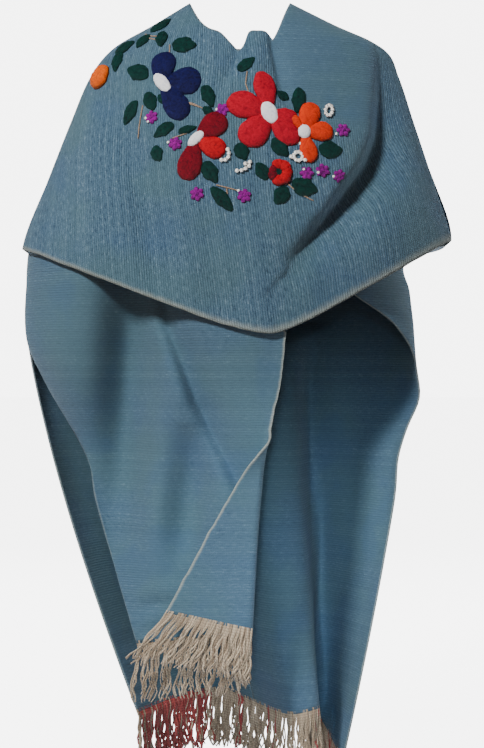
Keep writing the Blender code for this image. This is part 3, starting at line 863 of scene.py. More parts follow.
@dataclass
class RightFront:
    """The right front, under the wrap at the chest and hanging below it, slit edge turned back."""

    space: WornSpace
    wrap: ChestWrap
    columns: int = 84
    flap_columns: int = 40
    hidden_rows: int = 34
    hanging_rows: int = 92
    slit_at_neck: float = 0.93
    slit_at_hem: float = 0.485
    neck_share: float = 0.04
    flap_spread: float = 1.7
    flap_curl: float = 0.30
    flap_start: float = 0.40
    flap_folded: float = 0.56
    flap_radius: float = 0.007
    flap_strip: float = 0.014
    flap_width: float = 0.133
    flap_edge_z: Pair = (-0.611, -0.860)
    swell: float = 0.0018
    swell_reach: float = 0.07
    flap_swell_reach: float = 0.05
    table_rows: tuple[HangRow, ...] = (
        HangRow(0.25, (-0.3085, -0.008, -0.478), (0.0410, -0.151, -0.550)),
        HangRow(0.40, (-0.2790, -0.030, -0.545), (0.0280, -0.150, -0.611)),
        HangRow(0.55, (-0.2190, -0.050, -0.648), (0.0235, -0.146, -0.678)),
        HangRow(0.70, (-0.2030, -0.062, -0.715), (0.0175, -0.142, -0.745)),
        HangRow(1.00, (-0.1440, -0.090, -0.911), (0.0095, -0.130, -0.889)),
    )
    folds: tuple[Fold, ...] = (
        Fold(((-0.143, -0.330), (-0.149, -0.440), (-0.156, -0.540), (-0.165, -0.640), (-0.178, -0.740)),
             0.072, 0.041, 0.045),
        Fold(((-0.104, -0.400), (-0.098, -0.468), (-0.059, -0.570), (-0.003, -0.681), (0.022, -0.730)),
             0.030, 0.011, 0.034),
        Fold(((-0.060, -0.600), (-0.066, -0.700), (-0.072, -0.800)), 0.038, 0.034, 0.030),
        Fold(((-0.123, -0.600), (-0.122, -0.700), (-0.122, -0.820)), -0.008, 0.026, 0.022),
        Fold(((-0.252, -0.430), (-0.250, -0.520), (-0.232, -0.620)), -0.006, 0.020, 0.022),
        Fold(((-0.150, -0.868), (-0.118, -0.858), (-0.090, -0.850)), 0.008, 0.008, 0.012),
    )

    def __post_init__(self) -> None:
        """Ready the tables of both edges."""
        self.left = self.edge_table(1.0, "left")
        self.right = self.edge_table(self.slit_at_hem, "right")

    def edge_table(self, s: float, side: str) -> SmoothTable:
        """Make the table of one hanging edge, from the wrap's hem down.

        Args:
            s: the edge's share along the wrap's hem.
            side: the edge's name in the sections.

        Returns:
            The table.
        """
        rows = [EdgePoint(0.0, *self.wrap.point(s, 1.0, self.space.layer))]
        rows += [EdgePoint(row.w, *getattr(row, side)) for row in self.table_rows]
        return SmoothTable(rows, "w")

    def edge(self, table: SmoothTable, w: float) -> Vector:
        """Place a point of one of the hanging edges."""
        return Vector([table.at(axis, w) for axis in "xyz"])

    def free(self, u: float, w: float) -> Vector:
        """Place a point between the hanging edges, before it meets the wrap's hem.

        Args:
            u: the share from the outer edge to the fold line.
            w: the share from the wrap's hem to the fringe.

        Returns:
            The point.
        """
        left, right = self.edge(self.left, w), self.edge(self.right, w)
        round_part = math.sqrt(1.0 - (1.0 - clamp(1.2 * u)) ** 2)
        flat_part = math.sin(0.5 * math.pi * u)
        depth = mix(left.y, right.y, mix(round_part, flat_part, smooth(w / 0.8)))
        across = mix(0.5 - 0.5 * math.cos(math.pi * u), u, smooth(w / 0.5) * 0.5 + 0.5)
        return Vector((mix(left.x, right.x, across), depth, mix(left.z, right.z, across)))

    def hanging(self, u: float, w: float) -> Vector:
        """Place a point of the hanging front.

        Args:
            u: the share from the outer edge to the fold line.
            w: the share from the wrap's hem to the fringe.

        Returns:
            The point.
        """
        top = self.wrap.point(mix(1.0, self.slit_at_hem, u), 1.0, self.space.layer)
        point = self.free(u, w) + (top - self.free(u, 0.0)) * (1.0 - smooth(w / 0.35))
        hold = loose(u)
        point.y += pushed(self.folds, point.x, point.z) * hold
        point.y += unevenness(point, self.swell_reach, self.swell, 45.0) * hold * smooth(w / 0.15)
        return point

    def flap(self, t: float, w: float) -> Vector:
        """Place a point of the slit edge past the fold line, flat at first, then turned back.

        Args:
            t: the share from the fold line to the slit edge.
            w: the share from the wrap's hem to the fringe.

        Returns:
            The point.
        """
        fold = self.hanging(1.0, w)
        grown = clamp((w - self.flap_start) / (1.0 - self.flap_start))
        width = mix(self.flap_strip, self.flap_width, grown)
        reach = width * t ** self.flap_spread
        opening = smooth((w - self.flap_curl) / (self.flap_folded - self.flap_curl))
        bend = max(opening, 0.001) / self.flap_radius
        curled = min(reach, math.pi * self.flap_radius)
        turned = bend * curled
        x = fold.x + math.sin(turned) / bend + (reach - curled) * math.cos(turned)
        y = fold.y - (1.0 - math.cos(turned)) / bend - (reach - curled) * math.sin(turned)
        edge_z = mix(*self.flap_edge_z, grown)
        z = mix(fold.z, edge_z, reach / width * smooth(grown / 0.1))
        point = Vector((x, y, z))
        point.y -= abs(unevenness(point, self.flap_swell_reach, self.swell, 57.0)) * t * smooth(grown)
        point.x += (unevenness(point, 0.030, 0.0016, 61.0) + unevenness(point, 0.008, 0.0009, 63.0)) * t * t
        return point

    def place(self, i: int, j: int) -> Vector:
        """Place a corner of the grid; its first rows lie under the chest wrap.

        Args:
            i: the corner's column.
            j: the corner's row.

        Returns:
            The point.
        """
        flap_share = max(0, i - self.columns) / self.flap_columns
        if j <= self.hidden_rows:
            r = mix(self.neck_share, 1.0, j / self.hidden_rows)
            slit = mix(self.slit_at_neck, self.slit_at_hem, r ** 0.8)
            u = min(1.0, i / self.columns)
            point = self.wrap.point(mix(1.0, slit, u), r, self.space.layer)
            hold = loose(u) * ramp(r, 0.70, 1.0)
            point.y += pushed(self.folds, point.x, point.z) * hold
            point.x += self.flap_strip * flap_share ** self.flap_spread
            return point
        w = (j - self.hidden_rows) / self.hanging_rows
        if i <= self.columns:
            return self.hanging(i / self.columns, w)
        return self.flap(flap_share, w)

    def ridge(self) -> list[float]:
        """Give the heights that the front shares with its back along the shoulder."""
        shares = [mix(self.neck_share, 1.0, j / self.hidden_rows) for j in range(self.hidden_rows + 1)]
        return [self.wrap.table.at("left_z", r) for r in shares]

    def rim(self, i: int, j: int, spread: Spread) -> float:
        """Give the distance to the woven edges: the outer one below the arm, and the slit.

        Args:
            i: the corner's column.
            j: the corner's row.
            spread: what the grid measures.

        Returns:
            The distance.
        """
        above = spread.down[i][self.hidden_rows] - spread.down[i][j]
        outer = math.hypot(spread.from_left(i, j), max(0.0, above) * 3.0)
        return min(outer * 1.6 + 0.0085, spread.from_right(i, j) * 2.6)

    def add_to(self, length: ClothLength) -> Spread:
        """Weave the front into the right length and give what its grid measures."""
        columns, rows = self.columns + self.flap_columns, self.hidden_rows + self.hanging_rows
        return length.add_grid(columns, rows, self.place, self.rim, lambda point: 1.0, plumb=True)


class Graph:
    """The nodes of one material, added one by one."""

    def __init__(self, name: str) -> None:
        """Start a material with its Principled shader.

        Args:
            name: the material's name.
        """
        self.material = bpy.data.materials.new(name)
        self.material.use_nodes = True
        self.nodes = self.material.node_tree.nodes
        self.links = self.material.node_tree.links
        self.shader = self.nodes["Principled BSDF"]

    def feed(self, socket: Socket, value: object) -> None:
        """Link a socket to another one, or set its value.

        Args:
            socket: the input.
            value: another socket, or a plain value.
        """
        if isinstance(value, Socket):
            self.links.new(value, socket)
        else:
            socket.default_value = value

    def add(self, kind: str, feeds: Optional[dict] = None, **settings: object) -> bpy.types.Node:
        """Add a node.

        Args:
            kind: the node's type.
            feeds: what goes into its inputs, by name or number.
            settings: the node's own options.

        Returns:
            The node.
        """
        node = self.nodes.new(kind)
        for name, value in settings.items():
            setattr(node, name, value)
        for key, value in (feeds or {}).items():
            self.feed(node.inputs[key], value)
        return node

    def math(self, operation: str, a: object, b: object = 0.0, held: bool = False) -> Socket:
        """Add a Math node and give its output."""
        return self.add("ShaderNodeMath", {0: a, 1: b}, operation=operation, use_clamp=held).outputs[0]

    def times(self, a: object, b: object) -> Socket:
        """Multiply two values."""
        return self.math("MULTIPLY", a, b)

    def plus(self, a: object, b: object) -> Socket:
        """Add two values."""
        return self.math("ADD", a, b)

    def ridges(self, count: object) -> Socket:
        """Give round ridges, one for each whole step of a count."""
        return self.math("ABSOLUTE", self.math("SINE", self.times(count, math.pi)))

    def between(self, share: object, a: object, b: object) -> Socket:
        """Mix two values by a share."""
        return self.add("ShaderNodeMix", {0: share, 2: a, 3: b}, data_type="FLOAT").outputs[0]

    def tint(self, share: object, a: object, b: object, blend: str = "MIX") -> Socket:
        """Mix two colours by a share."""
        node = self.add("ShaderNodeMix", {0: share, 6: a, 7: b}, data_type="RGBA", blend_type=blend)
        return node.outputs[2]

    def paint_groove_shade(self, colour: object, groove: object) -> Socket:
        """Paint shade into a colour: darker by the depth of its grooves."""
        shade = self.add("ShaderNodeCombineColor", {0: groove, 1: groove, 2: groove}).outputs[0]
        return self.tint(1.0, colour, shade, "MULTIPLY")

    def step(self, value: object, start: float, stop: float) -> Socket:
        """Ease a value from 0 at start to 1 at stop."""
        return self.add("ShaderNodeMapRange", {0: value, 1: start, 2: stop},
                        interpolation_type="SMOOTHSTEP").outputs[0]

    def noise(self, vector: object, scale: float, detail: float = 2.0, swirl: float = 0.0) -> Socket:
        """Add a Noise Texture and give its value."""
        feeds = {"Vector": vector, "Scale": scale, "Detail": detail, "Distortion": swirl}
        return self.add("ShaderNodeTexNoise", feeds).outputs["Fac"]

    def attribute(self, name: str) -> Socket:
        """Read a value that is stored on the piece."""
        return self.add("ShaderNodeAttribute", attribute_name=name).outputs["Fac"]

    def vector(self, x: object, y: object, z: object = 0.0) -> Socket:
        """Join three values into a vector."""
        return self.add("ShaderNodeCombineXYZ", {0: x, 1: y, 2: z}).outputs[0]

    def place(self) -> Socket:
        """Give the place on the object."""
        return self.add("ShaderNodeTexCoord").outputs["Object"]

    def bump(self, height: object, strength: float, distance: float) -> None:
        """Raise the surface by a height."""
        feeds = {"Height": height, "Strength": strength, "Distance": distance}
        self.feed(self.shader.inputs["Normal"], self.add("ShaderNodeBump", feeds).outputs[0])

    def surface(self, **values: object) -> Material:
        """Set the shader's own sockets.

        Args:
            values: the sockets' names, with underscores for spaces, and what goes into them.

        Returns:
            The material.
        """
        for name, value in values.items():
            self.feed(self.shader.inputs[name.replace("_", " ")], value)
        return self.material


def rgb(red: float, green: float, blue: float) -> Paint:
    """Turn display values from 0 to 255 into a linear colour.

    Args:
        red: the red value.
        green: the green value.
        blue: the blue value.

    Returns:
        The colour, fully opaque.
    """
    def linear(value: float) -> float:
        """Turn one display value into a linear one."""
        value /= 255.0
        return value / 12.92 if value <= 0.04045 else ((value + 0.055) / 1.055) ** 2.4

    return (linear(red), linear(green), linear(blue), 1.0)


@dataclass(frozen=True)
class RibbedWool:
    """Weft-faced wool in a mix of blue-grey yarns, ribbed, with pale woven edges and painted shade in the
    rib grooves.
    """

    name: str = "ribbed wool"
    dark: Paint = rgb(42, 67, 90)
    middle: Paint = rgb(73, 102, 124)
    light: Paint = rgb(112, 139, 158)
    green: Paint = rgb(78, 110, 112)
    blue: Paint = rgb(58, 90, 128)
    pale: Paint = rgb(166, 170, 160)
    rib: float = 0.0034
    beat: float = 0.0024
    wander: float = 0.0008
    streak_across: float = 560.0
    streak_along: float = 120.0
    relief: float = 0.0012

    def ribs(self, graph: Graph, across: object, along: object) -> tuple[Socket, Socket]:
        """Draw ribs across one direction.

        Args:
            graph: the material's nodes.
            across: the length across the ribs.
            along: the length along them.

        Returns:
            The height and the streaks of the ribs.
        """
        count = graph.math("DIVIDE", across, self.rib)
        wave = graph.ridges(count)
        row = graph.math("FLOOR", count)
        chance = graph.add("ShaderNodeTexWhiteNoise", {"W": row}, noise_dimensions="1D").outputs[0]
        shifted = graph.plus(graph.math("DIVIDE", along, self.beat), graph.times(row, 0.5))
        pick = graph.ridges(shifted)
        height = graph.plus(graph.times(wave, 0.66), graph.times(pick, 0.34))
        lines = graph.vector(graph.times(across, self.streak_across), graph.times(along, self.streak_along))
        streak = graph.noise(lines, 1.0, 4.0)
        streak = graph.plus(graph.times(streak, 0.86), graph.times(chance, 0.14))
        return height, streak

    def material(self) -> Material:
        """Make the material.

        Returns:
            The material.
        """
        graph = Graph(self.name)
        threads = graph.add("ShaderNodeUVMap", uv_map="Threads").outputs[0]
        split = graph.add("ShaderNodeSeparateXYZ", {0: threads})
        wander = graph.math("SUBTRACT", graph.noise(threads, 34.0, 3.0), 0.5)
        wander = graph.times(wander, self.wander * 2.0)
        across = graph.plus(split.outputs[0], wander)
        down = graph.plus(split.outputs[1], wander)
        turn = graph.attribute("turn")
        upright, upright_streak = self.ribs(graph, across, down)
        level, level_streak = self.ribs(graph, down, across)
        height = graph.between(turn, upright, level)
        streak = graph.between(turn, upright_streak, level_streak)
        place = graph.place()
        broad = graph.step(graph.noise(place, 8.0, 3.0), 0.38, 0.62)
        cool = graph.step(graph.noise(place, 13.0, 2.0), 0.50, 0.70)
        speck = graph.noise(place, 520.0, 3.0)
        fine = graph.noise(place, 1500.0, 2.0)
        mixed = graph.plus(graph.times(streak, 0.62), graph.times(speck, 0.38))
        mixed = graph.between(graph.times(turn, 0.45), mixed, 0.51)
        colour = graph.tint(graph.step(mixed, 0.34, 0.50), self.dark, self.middle)
        colour = graph.tint(graph.step(mixed, 0.50, 0.68), colour, self.light)
        colour = graph.tint(graph.times(broad, 0.34), colour, self.green)
        colour = graph.tint(graph.times(cool, 0.26), colour, self.blue)
        wobble = graph.times(graph.noise(place, 120.0, 2.0), 0.005)
        rim = graph.plus(graph.attribute("rim"), wobble)
        edge = graph.math("SUBTRACT", 1.0, graph.step(rim, 0.0030, 0.0150))
        colour = graph.tint(graph.times(edge, 0.72), colour, self.pale)
        # Painted shade: the colour is darkened down in the rib grooves, with a little fine fuzz in it.
        groove = graph.times(graph.step(height, 0.05, 0.80), graph.between(turn, 0.50, 0.26))
        groove = graph.plus(groove, graph.between(turn, 0.58, 0.74))
        groove = graph.times(groove, graph.plus(graph.times(fine, 0.3), 0.85))
        colour = graph.paint_groove_shade(colour, groove)
        hair = graph.plus(height, graph.times(fine, 0.25))
        graph.bump(hair, graph.between(turn, 0.8, 0.45), self.relief)
        return graph.surface(Base_Color=colour, Roughness=0.95, Specular_IOR_Level=0.15,
                             Sheen_Weight=0.06, Sheen_Roughness=0.5,
                             Sheen_Tint=(0.75, 0.85, 0.92, 1.0))


@dataclass(frozen=True)
class FringeYarn:
    """Plied natural yarn, some of it dyed brick red, with painted shade between the plies."""

    name: str = "natural yarn"
    shade: Paint = rgb(118, 96, 74)
    light: Paint = rgb(208, 188, 162)
    brick: Paint = rgb(168, 66, 64)
    turns: float = 260.0

    def material(self) -> Material:
        """Make the material.

        Returns:
            The material.
        """
        graph = Graph(self.name)
        split = graph.add("ShaderNodeSeparateXYZ",
                          {0: graph.add("ShaderNodeUVMap", uv_map="Threads").outputs[0]})
        spiral = graph.plus(graph.times(split.outputs[1], self.turns), split.outputs[0])
        ply = graph.ridges(spiral)
        fibre = graph.noise(graph.place(), 900.0, 3.0)
        tone = graph.times(graph.attribute("tone"), 0.7)
        tone = graph.math("ADD", tone, graph.times(fibre, 0.4), held=True)
        colour = graph.tint(tone, self.shade, self.light)
        colour = graph.tint(graph.attribute("dye"), colour, self.brick)
        # Painted shade: the colour is darkened in the grooves between the plies.
        groove = graph.plus(graph.times(ply, 0.4), 0.65)
        colour = graph.paint_groove_shade(colour, groove)
        graph.bump(graph.plus(ply, graph.times(fibre, 0.5)), 0.7, 0.0006)
        return graph.surface(Base_Color=colour, Roughness=0.9, Specular_IOR_Level=0.2,
                             Sheen_Weight=0.15, Sheen_Roughness=0.5)


@dataclass(frozen=True)
class FeltWool:
    """Needle-felted wool of one dye, its fibres lighter and darker."""

    name: str
    shade: Paint
    colour: Paint
    light: Paint

    def material(self) -> Material:
        """Make the material.

        Returns:
            The material.
        """
        graph = Graph(self.name)
        place = graph.place()
        swirl = graph.noise(place, 130.0, 4.0, 1.8)
        fibre = graph.noise(place, 620.0, 4.0, 2.5)
        mixed = graph.plus(graph.times(swirl, 0.6), graph.times(fibre, 0.4))
        colour = graph.tint(graph.step(mixed, 0.34, 0.54), self.shade, self.colour)
        colour = graph.tint(graph.step(mixed, 0.54, 0.72), colour, self.light)
        graph.bump(graph.plus(swirl, graph.times(fibre, 0.6)), 0.65, 0.0012)
        return graph.surface(Base_Color=colour, Roughness=0.96, Specular_IOR_Level=0.12,
                             Sheen_Weight=0.10, Sheen_Roughness=0.6, Sheen_Tint=self.light)


@dataclass(frozen=True)
class GlazedBead:
    """White glazed beads with a soft gloss."""

    name: str = "white bead"
    colour: Paint = rgb(252, 250, 244)
    shade: Paint = rgb(222, 214, 206)

    def material(self) -> Material:
        """Make the material.

        Returns:
            The material.
        """
        graph = Graph(self.name)
        cloud = graph.noise(graph.place(), 420.0, 3.0)
        colour = graph.tint(graph.step(cloud, 0.35, 0.65), self.shade, self.colour)
        graph.bump(cloud, 0.2, 0.0004)
        roughness = graph.plus(graph.times(cloud, 0.15), 0.18)
        return graph.surface(Base_Color=colour, Roughness=roughness, Coat_Weight=0.5, Coat_Roughness=0.12)


@dataclass(frozen=True)
class PaleFloor:
    """A plain pale floor."""

    name: str = "pale floor"
    colour: Paint = (0.88, 0.88, 0.88, 1.0)
    glow: float = 6.4

    def material(self) -> Material:
        """Make the material."""
        return Graph(self.name).surface(Base_Color=self.colour, Roughness=0.9, Specular_IOR_Level=0.1,
                                        Emission_Color=self.colour, Emission_Strength=self.glow)


class Dye(Enum):
    """The felts of the trim, one for each dye."""

    NAVY = FeltWool("navy felt", rgb(4, 4, 30), rgb(12, 14, 64), rgb(28, 32, 96))
    WINE = FeltWool("wine felt", rgb(60, 0, 16), rgb(112, 0, 22), rgb(146, 6, 38))
    RED = FeltWool("red felt", rgb(130, 0, 16), rgb(186, 0, 20), rgb(210, 12, 34))
    CRIMSON = FeltWool("crimson felt", rgb(128, 0, 24), rgb(178, 0, 34), rgb(202, 6, 50))
    ORANGE = FeltWool("orange felt", rgb(176, 34, 0), rgb(216, 48, 0), rgb(232, 76, 2))
    AMBER = FeltWool("amber felt", rgb(186, 66, 0), rgb(226, 92, 0), rgb(240, 122, 4))
    WHITE = FeltWool("white felt", rgb(220, 220, 234), rgb(250, 250, 255), rgb(255, 255, 255))
    LEAF = FeltWool("leaf felt", rgb(0, 16, 18), rgb(0, 40, 36), rgb(4, 58, 50))
    VIOLET = FeltWool("violet felt", rgb(64, 0, 72), rgb(136, 0, 130), rgb(180, 12, 170))


class ThreadMesh:
    """Yarns and stems: tubes along paths, kept in one mesh."""

    weld: float = 0.000002

    def __init__(self) -> None:
        """Start an empty mesh."""
        self.mesh = bmesh.new()
        self.threads = self.mesh.loops.layers.uv.new("Threads")
        self.tone = self.mesh.verts.layers.float.new("tone")
        self.dye = self.mesh.verts.layers.float.new("dye")

    def add(self, path: Sequence[Vector], radius: float, sides: int = 5, tone: float = 0.5,
            dye: float = 0.0) -> None:
        """Add one yarn, closed at both ends.

        Args:
            path: the points that it follows.
            radius: half its thickness.
            sides: the faces round it.
            tone: how light it is, 0 to 1.
            dye: how much of the second dye it has, 0 to 1.
        """
        steps = len(path) + 1
        made = bmesh.ops.create_grid(self.mesh, x_segments=steps, y_segments=sides, size=0.5)
        corners = {}
        for vert in made["verts"]:
            corners[vert] = (round((vert.co.x + 0.5) * steps), round((vert.co.y + 0.5) * sides))
        rings = [path[0]] + list(path) + [path[-1]]
        reach = [0.0]
        for a, b in zip(rings, rings[1:]):
            reach.append(reach[-1] + (b - a).length)
        frames = []
        for i in range(len(path)):
            ahead = path[min(i + 1, len(path) - 1)] - path[max(i - 1, 0)]
            side = ahead.cross(ASKEW).normalized()
            frames.append((side, ahead.normalized().cross(side)))
        for vert, (i, k) in corners.items():
            side, other = frames[clamp_index(i - 1, len(path))]
            angle = 2.0 * math.pi * (k % sides) / sides
            wide = 0.0 if i in (0, steps) else radius
            vert.co = rings[i] + (side * math.cos(angle) + other * math.sin(angle)) * wide
            vert[self.tone] = tone
            vert[self.dye] = dye
        for face in {face for vert in corners for face in vert.link_faces}:
            for loop in face.loops:
                i, k = corners[loop.vert]
                loop[self.threads].uv = (k / sides, reach[i])

    def finish(self, name: str, material: Material) -> Piece:
        """Close the seams and poles and make the piece."""
        bmesh.ops.remove_doubles(self.mesh, verts=self.mesh.verts, dist=self.weld)
        return link_piece(name, self.mesh, material)


def clamp_index(index: int, count: int) -> int:
    """Keep an index within a count."""
    return max(0, min(count - 1, index))


@dataclass
class WarpFringe:
    """The warp ends of one hem: yarns that gather in loose clumps."""

    name: str
    yarns: int
    seed: int
    length: float = 0.086
    radius: float = 0.00105
    clump: int = 4
    lean: Callable[[float], Pair] = lambda share: (0.0, 0.0)
    dyed: Curve = lambda share: 0.0
    reach: Curve = lambda share: 1.0
    steps: int = 11
    gather: float = 0.55
    wander: float = 0.0042
    lift: float = 0.0

    def build(self, edge: Sequence[Vector], above: Sequence[Vector], material: Material,
              out: Vector) -> Piece:
        """Hang the yarns from a hem.

        Args:
            edge: points along the hem.
            above: points of a row above it, to know which way the cloth ends.
            material: the yarn's finish.
            out: the direction that the fringe's face looks.

        Returns:
            The piece.
        """
        chance = random.Random(self.seed)
        threads = ThreadMesh()
        centre_share, centre_swing = 0.0, (0.0, 0.0)
        for i in range(self.yarns):
            share = (i + 0.5) / self.yarns
            if i % self.clump == 0:
                centre_share = (i + 0.5 * self.clump) / self.yarns
                centre_swing = (chance.uniform(-1.0, 1.0), chance.uniform(-1.0, 1.0))
            root = place_along(edge, share)
            middle = place_along(edge, min(centre_share, 1.0))
            down = (root - place_along(above, share)).normalized()
            path = self.path(chance, root, middle, down, share, centre_swing, out)
            dye = 1.0 if chance.random() < self.dyed(share) else 0.0
            threads.add(path, self.radius * chance.uniform(0.8, 1.15), tone=chance.random(), dye=dye)
        return threads.finish(self.name, material)

    def path(self, chance: random.Random, root: Vector, middle: Vector, down: Vector, share: float,
             swing: Pair, out: Vector) -> list[Vector]:
        """Give one yarn's points, from just inside the hem to its loose end.

        Args:
            chance: the fringe's own source of chance.
            root: where the yarn leaves the hem.
            middle: the middle of its clump.
            down: the way the cloth ends there.
            share: the yarn's share along the hem.
            swing: how its clump swings, sideways and out.
            out: the direction that the fringe's face looks.

        Returns:
            The points.
        """
        lean_x, lean_y = self.lean(share)
        fall = Vector((lean_x, lean_y, -1.0)).normalized()
        length = self.length * self.reach(share) * chance.uniform(0.82, 1.0)
        phase = [chance.uniform(0.0, 2.0 * math.pi) for _ in range(3)]
        beat = chance.uniform(1.2, 2.4)
        depth = chance.uniform(-0.0012, 0.0016) + self.lift
        side = Vector((1.0, 0.0, 0.0))
        points = [root - down * 0.004 + out * depth]
        for k in range(1, self.steps + 1):
            t = k / self.steps
            turn = smooth(t / 0.25)
            at = root + (down * (1.0 - turn) + fall * turn) * (length * t)
            pull = self.gather * smooth(t / 0.3) * (1.0 - 0.45 * smooth((t - 0.5) / 0.5))
            at += (middle - root) * pull
            drift = self.wander * t
            at += side * (drift * math.sin(2.0 * math.pi * beat * t + phase[0]) + swing[0] * 0.006 * t)
            at += out * (0.6 * drift * math.sin(2.0 * math.pi * beat * t + phase[1]))
            at += out * (depth + abs(swing[1]) * 0.004 * t)
            points.append(at)
        return points


def place_along(points: Sequence[Vector], share: float) -> Vector:
    """Give the place along the straight runs between some points.

    Args:
        points: the points.
        share: the share of the way, 0 to 1.

    Returns:
        The place.
    """
    at = clamp(share) * (len(points) - 1)
    index = min(int(at), len(points) - 2)
    return points[index].lerp(points[index + 1], at - index)


class ClothFace:
    """The outer face of the finished cloth, asked where felt and beads lie on it."""

    def __init__(self, cloth: Piece) -> None:
        """Read the built cloth.

        Args:
            cloth: the built cloth.
        """
        graph = bpy.context.evaluated_depsgraph_get()
        graph.update()
        self.tree = BVHTree.FromObject(cloth, graph)

    def frame(self, x: float, z: float) -> Seat:
        """Find the cloth at a place of the front view.

        Args:
            x: the place across.
            z: the height.

        Returns:
            The point and the directions right, up and out there.
        """
        point, out, _, _ = self.tree.ray_cast(Vector((x, -1.0, z)), REAR)
        right = UP.cross(out).normalized()
        return point, right, out.cross(right), out

    def lifted(self, at: Seat, dx: float, dz: float, lift: float) -> Vector:
        """Find a place beside a frame's point, moved out from the cloth.

        Args:
            at: the frame.
            dx: how far it lies to the right of the frame's point.
            dz: how far it lies above that point.
            lift: how far it lies out from the cloth.

        Returns:
            The place.
        """
        point, right, up, out = at
        hit, normal, _, _ = self.tree.find_nearest(point + right * dx + up * dz + out * 0.006)
        return hit + normal * lift


@dataclass(frozen=True)
class Petal:
    """One petal: its direction in degrees, length, half width, felt and how high it lies."""

    turn: float
    length: float
    half: float
    dye: Optional[Dye] = None
    layer: float = 0.0


@dataclass(frozen=True)
class Flower:
    """One felt flower and its centre."""

    name: str
    x: float
    z: float
    dye: Dye
    petals: tuple[Petal, ...]
    centre: Optional[Triple] = None
    core: float = 0.0
    height: float = 0.0068


@dataclass(frozen=True)
class Leaf:
    """One felt leaf: its middle, length, width and direction in degrees."""

    x: float
    z: float
    length: float
    width: float
    turn: float


@dataclass
class FeltTrim:
    """Felt flowers, leaves and little violets, laid on the wrap."""

    face: ClothFace
    gap: float = 0.0004
    petal_middle: float = 0.52
    petal_egg: float = 0.24
    petal_groove: float = 0.12
    centre_seat: float = 0.60
    centre_height: float = 0.0040
    leaf_height: float = 0.0036
    leaf_groove: float = 0.30
    star_height: float = 0.0030
    star_steps: tuple[int, int] = (14, 8)
    core_height: float = 0.0038
    core_size: Pair = (0.008, 0.007)
    star_reach: float = 0.0056
    star_petal: float = 0.0043
    star_petals: int = 6
    finishes: dict = field(default_factory=dict)
    seed: float = 0.0
    flowers: tuple[Flower, ...] = (
        Flower("navy", -0.1065, -0.1345, Dye.NAVY,
               (Petal(95, 0.0530, 0.0180), Petal(7, 0.0550, 0.0210), Petal(-56, 0.0640, 0.0170)),
               (0.0380, 0.0180, -50.0)),
        Flower("wine", -0.0590, -0.2155, Dye.WINE,
               (Petal(42, 0.0510, 0.0175), Petal(-26, 0.0445, 0.0150, Dye.RED),
                Petal(-103, 0.0590, 0.0165)), (0.0285, 0.0150, 46.0)),
        Flower("crimson", 0.0400, -0.1790, Dye.CRIMSON,
               (Petal(97, 0.0640, 0.0155), Petal(160, 0.0610, 0.0190), Petal(-128, 0.0570, 0.0205),
                Petal(-49, 0.0560, 0.0158), Petal(-12, 0.0400, 0.0130)), (0.0340, 0.0225, -68.0)),
        Flower("orange", 0.0875, -0.2050, Dye.ORANGE,
               (Petal(71, 0.0465, 0.0145), Petal(5, 0.0410, 0.0140), Petal(-79, 0.0440, 0.0120),
                Petal(125, 0.0320, 0.0065)), (0.0210, 0.0178, -88.0)),
        Flower("rose", 0.0530, -0.2610, Dye.RED,
               (Petal(95, 0.0150, 0.0085), Petal(45, 0.0160, 0.0085, None, 0.0006),
                Petal(0, 0.0155, 0.0085), Petal(-48, 0.0165, 0.0085, None, 0.0006),
                Petal(-95, 0.0160, 0.0085), Petal(-150, 0.0130, 0.0070, Dye.WINE, 0.0004),
                Petal(160, 0.0110, 0.0060, Dye.WINE, 0.0008)), None, 0.0030, 0.0062),
        Flower("bud", -0.1975, -0.1140, Dye.AMBER,
               (Petal(80, 0.0240, 0.0130), Petal(150, 0.0230, 0.0125), Petal(210, 0.0230, 0.0130),
                Petal(290, 0.0240, 0.0135), Petal(0, 0.0220, 0.0125)),
               None, -0.0055, 0.0105),
    )
    leaves: tuple[Leaf, ...] = (
        Leaf(-0.1120, -0.0400, 0.0360, 0.0270, 60),
        Leaf(-0.1100, -0.0645, 0.0340, 0.0195, -80),
        Leaf(-0.1373, -0.0650, 0.0300, 0.0200, -110),
        Leaf(-0.1630, -0.0710, 0.0360, 0.0260, 34),
        Leaf(-0.1735, -0.0930, 0.0400, 0.0205, -80),
        Leaf(-0.0775, -0.0763, 0.0380, 0.0290, -10),
        Leaf(-0.1430, -0.1135, 0.0430, 0.0260, 155),
        Leaf(-0.0430, -0.1540, 0.0390, 0.0205, -69),
        Leaf(-0.0428, -0.1760, 0.0200, 0.0130, -42),
        Leaf(-0.1235, -0.1590, 0.0330, 0.0215, -63),
        Leaf(-0.1520, -0.1725, 0.0400, 0.0205, -117),
        Leaf(-0.1050, -0.2010, 0.0370, 0.0185, -147),
        Leaf(-0.0715, -0.2010, 0.0280, 0.0120, 15),
        Leaf(-0.1130, -0.2340, 0.0250, 0.0205, -60),
        Leaf(-0.0400, -0.2615, 0.0355, 0.0230, -58),
        Leaf(0.0100, -0.1075, 0.0320, 0.0190, 42),
        Leaf(0.0025, -0.2330, 0.0270, 0.0215, -69),
        Leaf(0.0550, -0.2270, 0.0335, 0.0225, -53),
        Leaf(0.0805, -0.1590, 0.0420, 0.0210, -99),
        Leaf(0.1245, -0.2285, 0.0350, 0.0265, -3),
        Leaf(0.0560, -0.2935, 0.0300, 0.0230, -125),
        Leaf(0.0885, -0.2815, 0.0380, 0.0275, -18),
        Leaf(-0.0230, -0.2992, 0.0475, 0.0200, -48),
        Leaf(0.0300, -0.2590, 0.0290, 0.0200, 120),
    )
    tucked: tuple[Leaf, ...] = (
        Leaf(-0.1056, -0.1575, 0.0220, 0.0130, -42),
        Leaf(0.0570, -0.1535, 0.0200, 0.0150, -45),
        Leaf(0.0510, -0.2620, 0.0240, 0.0170, 55),
    )
    stars: tuple[Pair, ...] = (
        (-0.121, -0.182), (-0.088, -0.221), (-0.024, -0.174), (-0.058, -0.291), (0.006, -0.294),
        (0.142, -0.200), (0.113, -0.258), (0.136, -0.265), (0.091, -0.262),
    )

